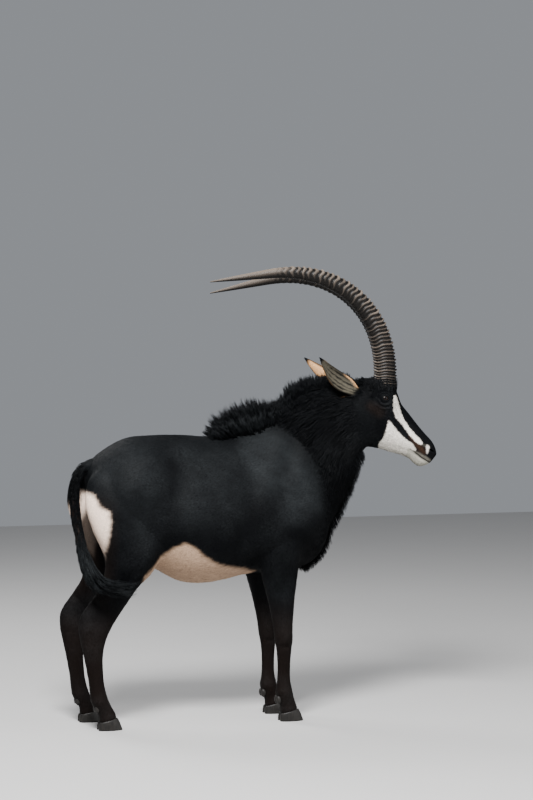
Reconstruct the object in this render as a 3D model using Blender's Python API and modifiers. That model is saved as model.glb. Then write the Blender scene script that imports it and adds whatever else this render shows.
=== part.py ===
"""A sable antelope bull, life size, standing with its head turned a little to its right.

Metres, +Z up. The animal faces +X, and +Y is its left. Flesh is lofted from girths: each girth is a
cross-section that is named by the two points where it meets the outline seen from the side.
"""

import math
import random
from collections import namedtuple

import bmesh
import bpy
import numpy as np
from mathutils import Matrix, Vector
from mathutils.bvhtree import BVHTree

# Driving sizes
HORN_LENGTH = 1.110
HORN_BEND = {"right": math.radians(99.4), "left": math.radians(104.5)}
HORN_START = math.radians(88.3)
HORN_TURNED = 0.761
HORN_EASE = 0.38
HORN_BASE = (0.915, 1.562)
HORN_SPACING = 0.082
HORN_SPLAY = 0.128
HORN_RADIUS = 0.043
HORN_TIP = 0.0022
HORN_DEEP = 1.10
HORN_WIDE = 0.82
HORN_RINGS = 40
HORN_CROWDING = 0.33
HORN_EASING = 3.0
HORN_RIBBED = 0.74
HORN_RIB = 0.11
HORN_SIDES = 8
HORN_STUB = 0.012
EYE_RADIUS = 0.0215
EYE_CENTRE = (0.912, 0.0660, 1.478)
LID_THICKNESS = 0.0042
LID_SLANT = 28
LIDS = (0.060, 0.052, 0.036)
HEAD_YAW = math.radians(-16)
HEAD_REACH = 0.006
NECK_PIVOT_X = 0.60
GAP = 0.00035
CUT_MARGIN = 0.012
BODY_VOXEL = 0.008
HEAD_VOXEL = 0.005
HOOF_WIDTH = 0.043
HOOF_TOE = 0.024
HOOF_HEEL = 0.004
HOOF_PINCH = 0.42
HOOF_INNER = 0.62
DEWCLAW = (0.011, 0.010, 0.019)
DEWCLAW_PLACE = (-0.008, 0.019, 0.098)
TAIL_SIDES = 10
ROOT_DEPTH = 0.016
MANE_WIDTH = 0.042
MANE_THICKNESS = 0.013
MANE_COUNT = 33
BEARD_WIDTH = 0.030
BEARD_THICKNESS = 0.012
BEARD_COUNT = 12
DRAPE_WIDTH = 0.036
DRAPE_THICKNESS = 0.012
DRAPE_LENGTH = 0.120
DRAPE_COUNT = 9
DRAPE_LINE = ((0.40, 1.385), (0.73, 1.510))
DRAPE_DROP = (0.09, 0.25)
DRAPE_LEAN = (205, 218)
TUFT_WIDTH = 0.034
TUFT_THICKNESS = 0.013
TUFT_LENGTH = 0.15
TUFT_COUNT = 18
LOCK_TAPER = (1.0, 0.92, 0.58, 0.06)
TORSO_TRIANGLES = 900
NECK_TRIANGLES = 520
HEAD_TRIANGLES = 1120
LEG_TRIANGLES = (230, 115, 140)

SIDES = (("right", -1.0), ("left", 1.0))
COLLECTION = "sable_antelope"

# A girth: its point on the back (or the front of a leg), its point on the belly (or the back of a leg),
# its half width, how far down its widest place is, how square its two halves are, how far to the side
# it stands, and the share of the head's turn that it has taken.
Girth = namedtuple("Girth", "top_x top_z low_x low_z half widest top_power low_power side turn")


def girth(top, low, half, widest=0.5, powers=(2.1, 2.1), side=0.0, turn=0.0):
    return Girth(*top, *low, half, widest, *powers, side, turn)


TRUNK = (
    girth((-0.488, 1.125), (-0.470, 1.000), 0.045),
    girth((-0.468, 1.195), (-0.452, 0.890), 0.110, 0.50),
    girth((-0.410, 1.252), (-0.390, 0.805), 0.162, 0.46, (1.9, 2.2)),
    girth((-0.300, 1.309), (-0.285, 0.760), 0.200, 0.42, (1.8, 2.2)),
    girth((-0.180, 1.321), (-0.180, 0.715), 0.208, 0.48, (1.7, 2.2)),
    girth((-0.050, 1.321), (-0.060, 0.650), 0.222, 0.56, (1.7, 2.1)),
    girth((0.050, 1.313), (0.045, 0.635), 0.228, 0.58, (1.7, 2.1)),
    girth((0.140, 1.308), (0.150, 0.647), 0.224, 0.58, (1.7, 2.1)),
    girth((0.230, 1.328), (0.250, 0.668), 0.212, 0.58, (1.5, 2.1)),
    girth((0.320, 1.354), (0.345, 0.672), 0.200, 0.58, (1.4, 2.1)),
    girth((0.410, 1.350), (0.450, 0.672), 0.190, 0.56, (1.6, 2.1)),
    girth((0.500, 1.310), (0.560, 0.705), 0.172, 0.52),
    girth((0.570, 1.220), (0.630, 0.780), 0.140, 0.50),
    girth((0.620, 1.100), (0.665, 0.900), 0.080, 0.50),
)
NECK = (
    girth((0.250, 1.300), (0.510, 0.745), 0.165, 0.50, (1.6, 2.1)),
    girth((0.345, 1.362), (0.620, 0.815), 0.162, 0.50, (1.5, 2.1)),
    girth((0.440, 1.405), (0.688, 0.920), 0.148, 0.50, (1.5, 2.0), 0.0, 0.12),
    girth((0.540, 1.455), (0.735, 1.030), 0.124, 0.48, (1.6, 2.0), 0.0, 0.34),
    girth((0.630, 1.496), (0.770, 1.125), 0.106, 0.46, (1.7, 2.0), 0.0, 0.62),
    girth((0.720, 1.525), (0.800, 1.205), 0.092, 0.44, (1.8, 2.0), 0.0, 0.86),
    girth((0.800, 1.545), (0.832, 1.248), 0.084, 0.44, (2.0, 2.1), 0.0, 1.0),
    girth((0.865, 1.545), (0.880, 1.262), 0.072, 0.44, (2.0, 2.1), 0.0, 1.0),
)
HEAD = (
    girth((0.795, 1.540), (0.815, 1.270), 0.055, 0.45, (2.2, 2.0), 0.0, 1.0),
    girth((0.825, 1.566), (0.835, 1.252), 0.071, 0.42, (2.4, 1.9), 0.0, 1.0),
    girth((0.868, 1.564), (0.868, 1.246), 0.080, 0.38, (2.6, 1.8), 0.0, 1.0),
    girth((0.925, 1.560), (0.905, 1.237), 0.082, 0.34, (2.7, 1.7), 0.0, 1.0),
    girth((0.967, 1.512), (0.945, 1.224), 0.076, 0.32, (2.7, 1.7), 0.0, 1.0),
    girth((0.992, 1.450), (0.978, 1.215), 0.062, 0.40, (2.7, 1.9), 0.0, 1.0),
    girth((1.028, 1.404), (1.004, 1.206), 0.052, 0.46, (2.6, 2.1), 0.0, 1.0),
    girth((1.064, 1.358), (1.028, 1.194), 0.045, 0.50, (2.6, 2.2), 0.0, 1.0),
    girth((1.100, 1.315), (1.048, 1.174), 0.041, 0.54, (2.6, 2.3), 0.0, 1.0),
    girth((1.133, 1.279), (1.070, 1.160), 0.040, 0.56, (2.6, 2.4), 0.0, 1.0),
    girth((1.151, 1.246), (1.096, 1.161), 0.036, 0.54, (2.6, 2.4), 0.0, 1.0),
    girth((1.158, 1.216), (1.126, 1.175), 0.025, 0.50, (2.4, 2.4), 0.0, 1.0),
)
FORELEG = (
    girth((0.500, 0.900), (0.300, 0.860), 0.060, 0.5, side=0.110),
    girth((0.490, 0.780), (0.290, 0.760), 0.068, 0.5, side=0.118),
    girth((0.474, 0.670), (0.303, 0.665), 0.062, 0.55, side=0.120),
    girth((0.463, 0.580), (0.328, 0.575), 0.053, 0.55, side=0.118),
    girth((0.455, 0.480), (0.350, 0.478), 0.044, 0.5, side=0.115),
    girth((0.452, 0.410), (0.362, 0.410), 0.041, 0.5, side=0.113),
    girth((0.453, 0.370), (0.366, 0.372), 0.042, 0.5, side=0.112),
    girth((0.447, 0.325), (0.374, 0.330), 0.035, 0.5, side=0.112),
    girth((0.443, 0.260), (0.379, 0.262), 0.029, 0.5, side=0.112),
    girth((0.443, 0.190), (0.378, 0.190), 0.029, 0.5, side=0.111),
    girth((0.453, 0.140), (0.371, 0.136), 0.036, 0.5, side=0.110),
    girth((0.459, 0.112), (0.379, 0.098), 0.036, 0.5, side=0.109),
    girth((0.468, 0.084), (0.393, 0.066), 0.034, 0.5, side=0.109),
    girth((0.477, 0.060), (0.392, 0.038), 0.041, 0.5, side=0.108),
    girth((0.478, 0.046), (0.392, 0.024), 0.041, 0.5, side=0.108),
)
HINDLEG = (
    girth((-0.330, 1.165), (-0.425, 1.205), 0.030, 0.5, side=0.080),
    girth((-0.270, 1.095), (-0.494, 1.140), 0.055, 0.5, side=0.094),
    girth((-0.225, 1.020), (-0.516, 1.070), 0.068, 0.5, side=0.104),
    girth((-0.185, 0.930), (-0.517, 1.000), 0.076, 0.5, side=0.114),
    girth((-0.170, 0.810), (-0.486, 0.900), 0.084, 0.5, side=0.120),
    girth((-0.205, 0.715), (-0.446, 0.810), 0.078, 0.5, side=0.122),
    girth((-0.278, 0.640), (-0.432, 0.738), 0.062, 0.5, side=0.124),
    girth((-0.328, 0.570), (-0.452, 0.655), 0.050, 0.5, side=0.124),
    girth((-0.366, 0.515), (-0.506, 0.578), 0.041, 0.45, side=0.122),
    girth((-0.398, 0.464), (-0.550, 0.510), 0.039, 0.4, side=0.121),
    girth((-0.424, 0.410), (-0.552, 0.440), 0.040, 0.4, side=0.120),
    girth((-0.438, 0.350), (-0.536, 0.360), 0.037, 0.5, side=0.120),
    girth((-0.440, 0.290), (-0.522, 0.292), 0.032, 0.5, side=0.120),
    girth((-0.434, 0.210), (-0.508, 0.210), 0.031, 0.5, side=0.120),
    girth((-0.420, 0.150), (-0.500, 0.140), 0.037, 0.5, side=0.120),
    girth((-0.404, 0.112), (-0.484, 0.098), 0.037, 0.5, side=0.120),
    girth((-0.388, 0.084), (-0.463, 0.066), 0.035, 0.5, side=0.120),
    girth((-0.378, 0.060), (-0.463, 0.038), 0.042, 0.5, side=0.120),
    girth((-0.377, 0.046), (-0.463, 0.024), 0.042, 0.5, side=0.120),
)
STANCE = {"fore_right": 0.006, "fore_left": -0.006, "hind_right": 0.008, "hind_left": -0.030}

# A swelling or a hollow of the flesh: its place seen from the side, its radii along and across its own
# slant in degrees, and its height.
Swelling = namedtuple("Swelling", "x z long_radius short_radius slant height")
BODY_SWELLINGS = (
    Swelling(0.330, 1.080, 0.200, 0.075, 75, 0.016),
    Swelling(0.520, 0.920, 0.110, 0.080, 60, 0.018),
    Swelling(0.350, 0.830, 0.110, 0.090, 20, 0.022),
    Swelling(0.215, 0.930, 0.160, 0.045, 80, -0.012),
    Swelling(-0.340, 1.020, 0.170, 0.120, 70, 0.020),
    Swelling(-0.215, 1.215, 0.055, 0.040, 10, 0.014),
    Swelling(-0.225, 0.800, 0.090, 0.060, 60, 0.014),
    Swelling(-0.115, 1.060, 0.120, 0.060, 70, -0.016),
    Swelling(0.440, 1.200, 0.150, 0.040, 70, -0.010),
)

HEAD_SWELLINGS = (
    Swelling(0.905, 1.512, 0.042, 0.016, -25, 0.007),
    Swelling(0.885, 1.330, 0.075, 0.050, 70, 0.007),
    Swelling(0.960, 1.400, 0.080, 0.013, -55, 0.005),
    Swelling(1.090, 1.235, 0.030, 0.022, -45, 0.004),
    Swelling(1.010, 1.300, 0.050, 0.020, -50, -0.004),
)
MANE_CORE = (
    girth((0.120, 1.318), (0.120, 1.270), 0.012),
    girth((0.175, 1.352), (0.180, 1.270), 0.022),
    girth((0.255, 1.382), (0.262, 1.285), 0.026),
    girth((0.335, 1.400), (0.345, 1.310), 0.028),
    girth((0.405, 1.410), (0.430, 1.340), 0.030, turn=0.05),
    girth((0.470, 1.455), (0.500, 1.380), 0.036, turn=0.20),
    girth((0.545, 1.500), (0.570, 1.410), 0.040, turn=0.38),
    girth((0.625, 1.528), (0.645, 1.440), 0.042, turn=0.60),
    girth((0.700, 1.540), (0.715, 1.460), 0.040, turn=0.80),
    girth((0.765, 1.550), (0.775, 1.480), 0.034, turn=0.95),
)
# Rows of the mane and the beard: x, z, share of the turn, hair length, lean in degrees.
MANE_LINE = (
    (0.128, 1.315, 0.0, 0.050, 60),
    (0.165, 1.325, 0.0, 0.080, 46),
    (0.240, 1.340, 0.0, 0.095, 30),
    (0.330, 1.370, 0.0, 0.092, 14),
    (0.405, 1.385, 0.05, 0.088, 8),
    (0.470, 1.425, 0.20, 0.085, 14),
    (0.545, 1.470, 0.38, 0.080, 14),
    (0.625, 1.500, 0.60, 0.068, 14),
    (0.700, 1.520, 0.80, 0.055, 14),
    (0.765, 1.540, 0.95, 0.045, 20),
)
BEARD_LINE = (
    (0.815, 1.215, 1.0, 0.045, 40),
    (0.795, 1.160, 0.80, 0.060, 42),
    (0.765, 1.080, 0.52, 0.062, 46),
    (0.725, 0.985, 0.28, 0.055, 50),
    (0.680, 0.890, 0.10, 0.050, 54),
    (0.630, 0.810, 0.0, 0.045, 58),
)
LockRow = namedtuple("LockRow", "offset spread share")
MANE_ROWS = (LockRow(-0.012, -0.16, 0.97), LockRow(0.012, 0.16, 1.0))
BEARD_ROWS = (LockRow(-0.018, -0.25, 0.9), LockRow(0.018, 0.25, 0.9))

# Where the nodes part, as lines seen from the side.
NECK_LINE = ((0.345, 1.360), (0.660, 0.780))
HEAD_LINE = ((0.702, 1.600), (0.800, 1.225))
FORE_SEAT = ((0.255, 0.715), (0.540, 0.790), (0.640, 0.300), (0.160, 0.300))
FORE_INNER = 0.058
HIND_SEAT = ((-0.570, 0.985), (-0.155, 0.735), (-0.200, 0.300), (-0.680, 0.300))
HIND_INNER = 0.040
LEG_CUTS = {
    "fore": (
        ((0.455, 0.345), (0.365, 0.350)),
        ((0.450, 0.172), (0.370, 0.172)),
        ((0.477, 0.056), (0.392, 0.034)),
    ),
    "hind": (
        ((-0.428, 0.382), (-0.550, 0.402)),
        ((-0.425, 0.180), (-0.505, 0.172)),
        ((-0.378, 0.056), (-0.463, 0.034)),
    ),
}

# The tail: its line, and its radii at even steps along it.
TAIL_LINE = (
    (-0.420, 0.0, 1.200),
    (-0.474, 0.0, 1.186),
    (-0.513, -0.002, 1.148),
    (-0.536, -0.008, 1.090),
    (-0.539, -0.018, 1.020),
    (-0.535, -0.035, 0.950),
    (-0.528, -0.065, 0.880),
    (-0.522, -0.105, 0.815),
    (-0.512, -0.150, 0.760),
    (-0.492, -0.190, 0.710),
    (-0.450, -0.214, 0.672),
    (-0.405, -0.222, 0.648),
)
TAIL_RADII = (0.026, 0.025, 0.023, 0.022, 0.020, 0.019, 0.018, 0.019, 0.022, 0.023, 0.016, 0.006)
DOCK_START = 0.20
DOCK_END = 0.640

# The ear: base and tip in the head's own frame, and its widths, depths and walls along its length.
EAR_BASE = (0.786, 0.076, 1.505)
EAR_TIP = {"right": (0.614, 0.150, 1.666), "left": (0.548, 0.135, 1.656)}
EAR_FACING = (0.30, 1.0, 0.20)
EAR_START = 0.085
EAR_STATIONS = (0.0, 0.12, 0.26, 0.42, 0.58, 0.74, 0.88, 1.0)
EAR_HALF_WIDTHS = (0.021, 0.030, 0.041, 0.0425, 0.035, 0.024, 0.014, 0.003)
EAR_DEPTHS = (0.026, 0.032, 0.034, 0.031, 0.026, 0.018, 0.010, 0.0035)
EAR_WALLS = (0.026, 0.020, 0.007, 0.0055, 0.005, 0.0045, 0.004, 0.0025)
EAR_CURL = 0.014
EAR_SAG = (-0.006, 0.0, -0.007)
EAR_POINTS = 7

# The mouth's line from its corner to the front, with the muzzle's half width there; the nostrils.
MOUTH_LINE = (
    (1.033, 1.243, 0.044),
    (1.063, 1.221, 0.041),
    (1.096, 1.196, 0.036),
    (1.122, 1.180, 0.024),
    (1.160, 1.168, 0.006),
)
MOUTH_DEPTH = 0.007
MOUTH_OPEN = 0.0035
NOSTRIL = (0.0135, 0.011, 0.0055)
NOSTRIL_SLANT = 40
NOSTRIL_CENTRE = (1.131, 0.030, 1.236)


def spread(rows, steps):
    """Rows of numbers read at more places, by a curve that passes through each row in turn."""
    rows = np.asarray(rows, float)
    padded = np.vstack([2 * rows[0] - rows[1], rows, 2 * rows[-1] - rows[-2]])
    at = np.linspace(0, len(rows) - 1, (len(rows) - 1) * steps + 1)
    cell = np.minimum(at.astype(int), len(rows) - 2)
    t = (at - cell)[:, None]
    a, b, c, d = (padded[cell + k] for k in range(4))
    return 0.5 * (2 * b + (c - a) * t + (2 * a - 5 * b + 4 * c - d) * t**2 + (3 * b - a - 3 * c + d) * t**3)


def turned(points, share):
    """Points swung about the neck's pivot by that share of the head's turn."""
    share = np.asarray(share, float)
    angle = HEAD_YAW * share
    x = points[..., 0] - NECK_PIVOT_X + HEAD_REACH * share
    y = points[..., 1]
    cosine, sine = np.cos(angle), np.sin(angle)
    swung = (NECK_PIVOT_X + x * cosine - y * sine, x * sine + y * cosine, points[..., 2])
    return np.stack(swung, -1)


def unturned(points, share):
    """The points as they would be before that share of the head's turn."""
    angle = -HEAD_YAW * share
    x = points[..., 0] - NECK_PIVOT_X
    y = points[..., 1]
    cosine, sine = math.cos(angle), math.sin(angle)
    back_x = NECK_PIVOT_X + x * cosine - y * sine - HEAD_REACH * share
    return np.stack((back_x, x * sine + y * cosine, points[..., 2]), -1)


def rings_of(girths, around, steps, mirror=1.0, shift=0.0):
    """Rings of points, one ring for each girth and for the places between."""
    rows = spread(girths, steps)
    angle = np.linspace(0, 2 * np.pi, around, endpoint=False)
    top_x, top_z, low_x, low_z, half, widest, top_power, low_power, side, turn = (
        rows[:, k][:, None] for k in range(10)
    )
    height, breadth = np.cos(angle)[None, :], np.sin(angle)[None, :]
    power = np.where(height > 0, top_power, low_power)
    reach = np.abs(height) ** (2 / power)
    down = np.where(height > 0, widest * (1 - reach), widest + (1 - widest) * reach)
    across = np.sign(breadth) * np.abs(breadth) ** (2 / power) * half + side * mirror
    points = np.stack(
        (top_x + (low_x - top_x) * down + shift, across, top_z + (low_z - top_z) * down), -1
    )
    return turned(points, turn)


def tube_faces(rings, around):
    """Faces of a closed tube: quads between rings and one flat face on each end."""
    index = np.arange(rings * around).reshape(rings, around)
    following = np.roll(index, -1, axis=1)
    sides = np.stack((index[:-1], index[1:], following[1:], following[:-1]), -1).reshape(-1, 4)
    return [*sides.tolist(), index[0].tolist(), index[-1][::-1].tolist()]


def new_object(name, points, faces):
    """A mesh object with its faces pointing outwards, put in the collection."""
    mesh = bpy.data.meshes.new(name)
    mesh.from_pydata(np.asarray(points, float).reshape(-1, 3).tolist(), [], faces)
    work = bmesh.new()
    work.from_mesh(mesh)
    bmesh.ops.recalc_face_normals(work, faces=work.faces)
    work.to_mesh(mesh)
    work.free()
    made = bpy.data.objects.new(name, mesh)
    bpy.data.collections[COLLECTION].objects.link(made)
    return made


def tube(name, rings):
    return new_object(name, rings, tube_faces(*rings.shape[:2]))


def flatten(obj):
    """Puts the object's modifiers into its mesh."""
    graph = bpy.context.evaluated_depsgraph_get()
    mesh = bpy.data.meshes.new_from_object(obj.evaluated_get(graph))
    obj.modifiers.clear()
    old = obj.data
    obj.data = mesh
    bpy.data.meshes.remove(old)
    return obj


def joined(name, objects):
    """One object that holds copies of several meshes, which are removed."""
    work = bmesh.new()
    for obj in objects:
        work.from_mesh(obj.data)
    mesh = bpy.data.meshes.new(name)
    work.to_mesh(mesh)
    work.free()
    for obj in objects:
        bpy.data.objects.remove(obj)
    made = bpy.data.objects.new(name, mesh)
    bpy.data.collections[COLLECTION].objects.link(made)
    return made


def boolean(obj, others, operation):
    """Cuts the others from the object, or joins them to it, and removes them."""
    group = bpy.data.collections.new("pieces")
    bpy.context.scene.collection.children.link(group)
    for other in others:
        group.objects.link(other)
    change = obj.modifiers.new(operation, "BOOLEAN")
    change.operation = operation
    change.operand_type = "COLLECTION"
    change.collection = group
    change.solver = "MANIFOLD"
    flatten(obj)
    for other in others:
        bpy.data.objects.remove(other)
    bpy.data.collections.remove(group)
    return obj


def points_of(obj):
    points = np.empty(len(obj.data.vertices) * 3)
    obj.data.vertices.foreach_get("co", points)
    return points.reshape(-1, 3)


def normals_of(obj):
    normals = np.empty(len(obj.data.vertices) * 3)
    obj.data.vertices.foreach_get("normal", normals)
    return normals.reshape(-1, 3)


def move_points(obj, points):
    obj.data.vertices.foreach_set("co", points.ravel())
    obj.data.update()


def swell(obj, swellings, share=0.0):
    """Raises and sinks the flesh on both sides, by smooth mounds that fade out from their centres."""
    points, normals = points_of(obj), normals_of(obj)
    rise = np.zeros(len(points))
    sideways = np.abs(normals[:, 1])
    straight = unturned(points, share)
    for mound in swellings:
        slant = math.radians(mound.slant)
        x, z = straight[:, 0] - mound.x, straight[:, 2] - mound.z
        along = (x * math.cos(slant) + z * math.sin(slant)) / mound.long_radius
        across = (z * math.cos(slant) - x * math.sin(slant)) / mound.short_radius
        rise += mound.height * np.exp(-(along**2) - across**2) * sideways
    move_points(obj, points + normals * rise[:, None])


def fused(name, objects, voxel, smoothing):
    """Several closed tubes made one skin, with the creases between them smoothed away."""
    body = joined(name, objects)
    remesh = body.modifiers.new("one skin", "REMESH")
    remesh.mode = "VOXEL"
    remesh.voxel_size = voxel
    smooth = body.modifiers.new("soften", "SMOOTH")
    smooth.factor = 0.5
    smooth.iterations = smoothing
    return flatten(body)


def thinned(obj, triangles):
    """The same shape with about that many triangles."""
    work = bmesh.new()
    work.from_mesh(obj.data)
    bmesh.ops.triangulate(work, faces=work.faces)
    count = len(work.faces)
    work.to_mesh(obj.data)
    work.free()
    fewer = obj.modifiers.new("fewer faces", "DECIMATE")
    fewer.ratio = min(1.0, triangles / count)
    return flatten(obj)


def cut(obj, point, normal):
    """Takes away what lies on the side the normal points to, and closes the flesh with a flat face."""
    work = bmesh.new()
    work.from_mesh(obj.data)
    everything = [*work.verts, *work.edges, *work.faces]
    bmesh.ops.bisect_plane(
        work, geom=everything, dist=1e-6, plane_co=point, plane_no=normal, clear_outer=True
    )
    bmesh.ops.holes_fill(work, edges=[edge for edge in work.edges if edge.is_boundary], sides=0)
    bmesh.ops.triangulate(work, faces=[face for face in work.faces if len(face.verts) > 4])
    work.to_mesh(obj.data)
    work.free()
    return obj


def keep_largest(obj):
    """Keeps only the largest closed surface."""
    work = bmesh.new()
    work.from_mesh(obj.data)
    waiting = set(work.verts)
    pieces = []
    while waiting:
        front = [waiting.pop()]
        piece = set(front)
        while front:
            for edge in front.pop().link_edges:
                for vertex in edge.verts:
                    if vertex not in piece:
                        piece.add(vertex)
                        front.append(vertex)
        waiting -= piece
        pieces.append(piece)
    largest = max(pieces, key=lambda piece: max_reach(piece))
    bmesh.ops.delete(work, geom=[v for v in work.verts if v not in largest], context="VERTS")
    work.to_mesh(obj.data)
    work.free()
    return obj


def max_reach(piece):
    """The diagonal of a surface's box."""
    points = np.array([vertex.co for vertex in piece])
    return float(np.linalg.norm(points.max(0) - points.min(0)))


def part_at(obj, plane):
    """Cuts a node clean at half the gap from a plane that parts it from its neighbour."""
    point, normal = plane
    normal = Vector(normal).normalized()
    cut(obj, Vector(point) - normal * GAP / 2, normal)
    return keep_largest(obj)


def region(name, source, planes, triangles):
    """One node of flesh: the stretch of a source behind its planes, thinned before its last clean cuts."""
    made = bpy.data.objects.new(name, source.data.copy())
    bpy.data.collections[COLLECTION].objects.link(made)
    for point, normal in planes:
        normal = Vector(normal).normalized()
        cut(made, Vector(point) + normal * CUT_MARGIN, normal)
    keep_largest(made)
    thinned(made, triangles)
    for plane in planes:
        part_at(made, plane)
    return made


def line_plane(first, second, turn=0.0):
    """A plane across the animal that shows as the line between two points seen from the side.

    Its normal points to the left of the way from the first point to the second, seen from the right
    of the animal. The plane can take a share of the head's turn.
    """
    start = turned(np.array([first[0], 0.0, first[1]]), turn)
    angle = HEAD_YAW * turn
    along_x, along_z = second[0] - first[0], second[1] - first[1]
    normal = Vector((-along_z * math.cos(angle), -along_z * math.sin(angle), along_x))
    return tuple(start), tuple(normal)


def opposite(plane):
    point, normal = plane
    return point, tuple(-value for value in normal)


NECK_CUT = opposite(line_plane(*NECK_LINE))
HEAD_CUT = opposite(line_plane(*HEAD_LINE, 1.0))


def unit(vectors):
    vectors = np.asarray(vectors, float)
    return vectors / np.linalg.norm(vectors, axis=-1, keepdims=True)


def lock(root, heading, flat, length, width, thickness, bend):
    """A flat tapered lock of hair: four rings of four corners along a bending line."""
    t = np.array((0.0, 0.36, 0.70, 1.0))[:, None]
    line = root + heading * length * t + bend * length * t**2
    way = unit(np.gradient(line, axis=0))
    across = unit(flat - way * (way @ flat)[:, None])
    out = np.cross(way, across)
    taper = np.array(LOCK_TAPER)[:, None]
    corners = (across * width / 2, out * thickness / 2, -across * width / 2, -out * thickness / 2)
    rings = np.stack([line + corner * taper for corner in corners], 1)
    return rings


def surface_of(obj):
    """Finds where a straight line first meets the flesh."""
    return BVHTree.FromPolygons(
        [vertex.co for vertex in obj.data.vertices], [tuple(face.vertices) for face in obj.data.polygons]
    )


def along(rows, count):
    """Rows of numbers read at evenly counted places by the same curve as the girths."""
    fine = spread(rows, 24)
    at = np.linspace(0, len(fine) - 1, count)
    low = np.minimum(at.astype(int), len(fine) - 2)
    part = (at - low)[:, None]
    return fine[low] * (1 - part) + fine[low + 1] * part


def mane_locks(flesh, row, count, draw):
    """One row of the mane, standing on the crest of the neck and the withers."""
    made = []
    for x, z, turn, length, lean in along(MANE_LINE, count):
        base = turned(np.array([x, row.offset, z]), turn)
        hit = flesh.ray_cast(Vector((base[0], base[1], z + 0.3)), Vector((0, 0, -1)))[0]
        lean = math.radians(lean + draw.uniform(-9, 9))
        sideways = row.spread + draw.uniform(-0.10, 0.10)
        heading = unit((-math.sin(lean), sideways, math.cos(lean)))
        bend = np.array((-0.10, row.spread * 0.35, -0.06)) * draw.uniform(0.3, 1.6)
        long = length * row.share * draw.uniform(0.86, 1.10)
        root = np.array(hit) - heading * ROOT_DEPTH
        flat = np.array((math.cos(lean), 0.5 * draw.uniform(-1, 1), math.sin(lean)))
        made.append(lock(root, heading, flat, long + ROOT_DEPTH, MANE_WIDTH, MANE_THICKNESS, bend))
    return made


def beard_locks(flesh, row, count, draw):
    """One row of the short hair that hangs along the throat."""
    made = []
    for x, z, turn, length, lean in along(BEARD_LINE, count):
        base = turned(np.array([x, row.offset, z]), turn)
        origin = Vector(base) + Vector((0.3, 0, -0.18))
        hit = flesh.ray_cast(origin, Vector((-0.3, 0, 0.18)).normalized())[0]
        lean = math.radians(lean + draw.uniform(-8, 8))
        sideways = row.spread + draw.uniform(-0.12, 0.12)
        heading = unit((math.cos(lean), sideways, -math.sin(lean)))
        bend = np.array((-0.12, 0.0, -0.16)) * draw.uniform(0.4, 1.4)
        long = length * row.share * draw.uniform(0.85, 1.12)
        root = np.array(hit) - heading * ROOT_DEPTH
        flat = np.array((math.sin(lean), 0.5 * draw.uniform(-1, 1), math.cos(lean)))
        made.append(lock(root, heading, flat, long + ROOT_DEPTH, BEARD_WIDTH, BEARD_THICKNESS, bend))
    return made


def drape_locks(flesh, side, draw):
    """Long hair that lies down and back along one side of the neck."""
    made = []
    for step in range(DRAPE_COUNT):
        share = (step + 0.5) / DRAPE_COUNT
        low = (step * 0.618) % 1.0
        (x, z), (end_x, end_z) = DRAPE_LINE
        x += (end_x - x) * share
        z += (end_z - z) * share - (DRAPE_DROP[0] + DRAPE_DROP[1] * low)
        turn = max(0.0, (x - 0.36) / 0.44)
        outside, middle = turned(np.array([[x, side * 0.4, z], [x, 0.0, z]]), turn)
        hit, normal = flesh.ray_cast(Vector(outside), Vector(middle - outside).normalized())[:2]
        lean = math.radians(DRAPE_LEAN[0] + (DRAPE_LEAN[1] - DRAPE_LEAN[0]) * low + draw.uniform(-16, 16))
        lie = np.array((math.cos(lean), 0.0, math.sin(lean)))
        normal = np.array(normal)
        lie = unit(lie - normal * (lie @ normal))
        heading = unit(lie + normal * 0.34)
        flat = np.cross(heading, normal)
        root = np.array(hit) - heading * ROOT_DEPTH * 0.8
        bend = -normal * 0.16 + np.array((0, 0, -0.10))
        long = DRAPE_LENGTH * draw.uniform(0.8, 1.15)
        made.append(lock(root, heading, flat, long, DRAPE_WIDTH, DRAPE_THICKNESS, bend))
    return made


def with_locks(core, locks, name):
    """A node of flesh with its locks fused to it."""
    pieces = [tube(f"{name}_lock", rings) for rings in locks]
    return keep_largest(boolean(core, pieces, "UNION"))


def ring_count(at):
    """How many rings lie below a place along the horn: they stand closer together towards its base."""
    along_ribs = at / HORN_RIBBED
    crowd = HORN_CROWDING * (1 - np.exp(-HORN_EASING * along_ribs))
    whole = 1 - HORN_CROWDING + HORN_CROWDING * (1 - math.exp(-HORN_EASING))
    return HORN_RINGS * ((1 - HORN_CROWDING) * along_ribs + crowd) / whole


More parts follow.
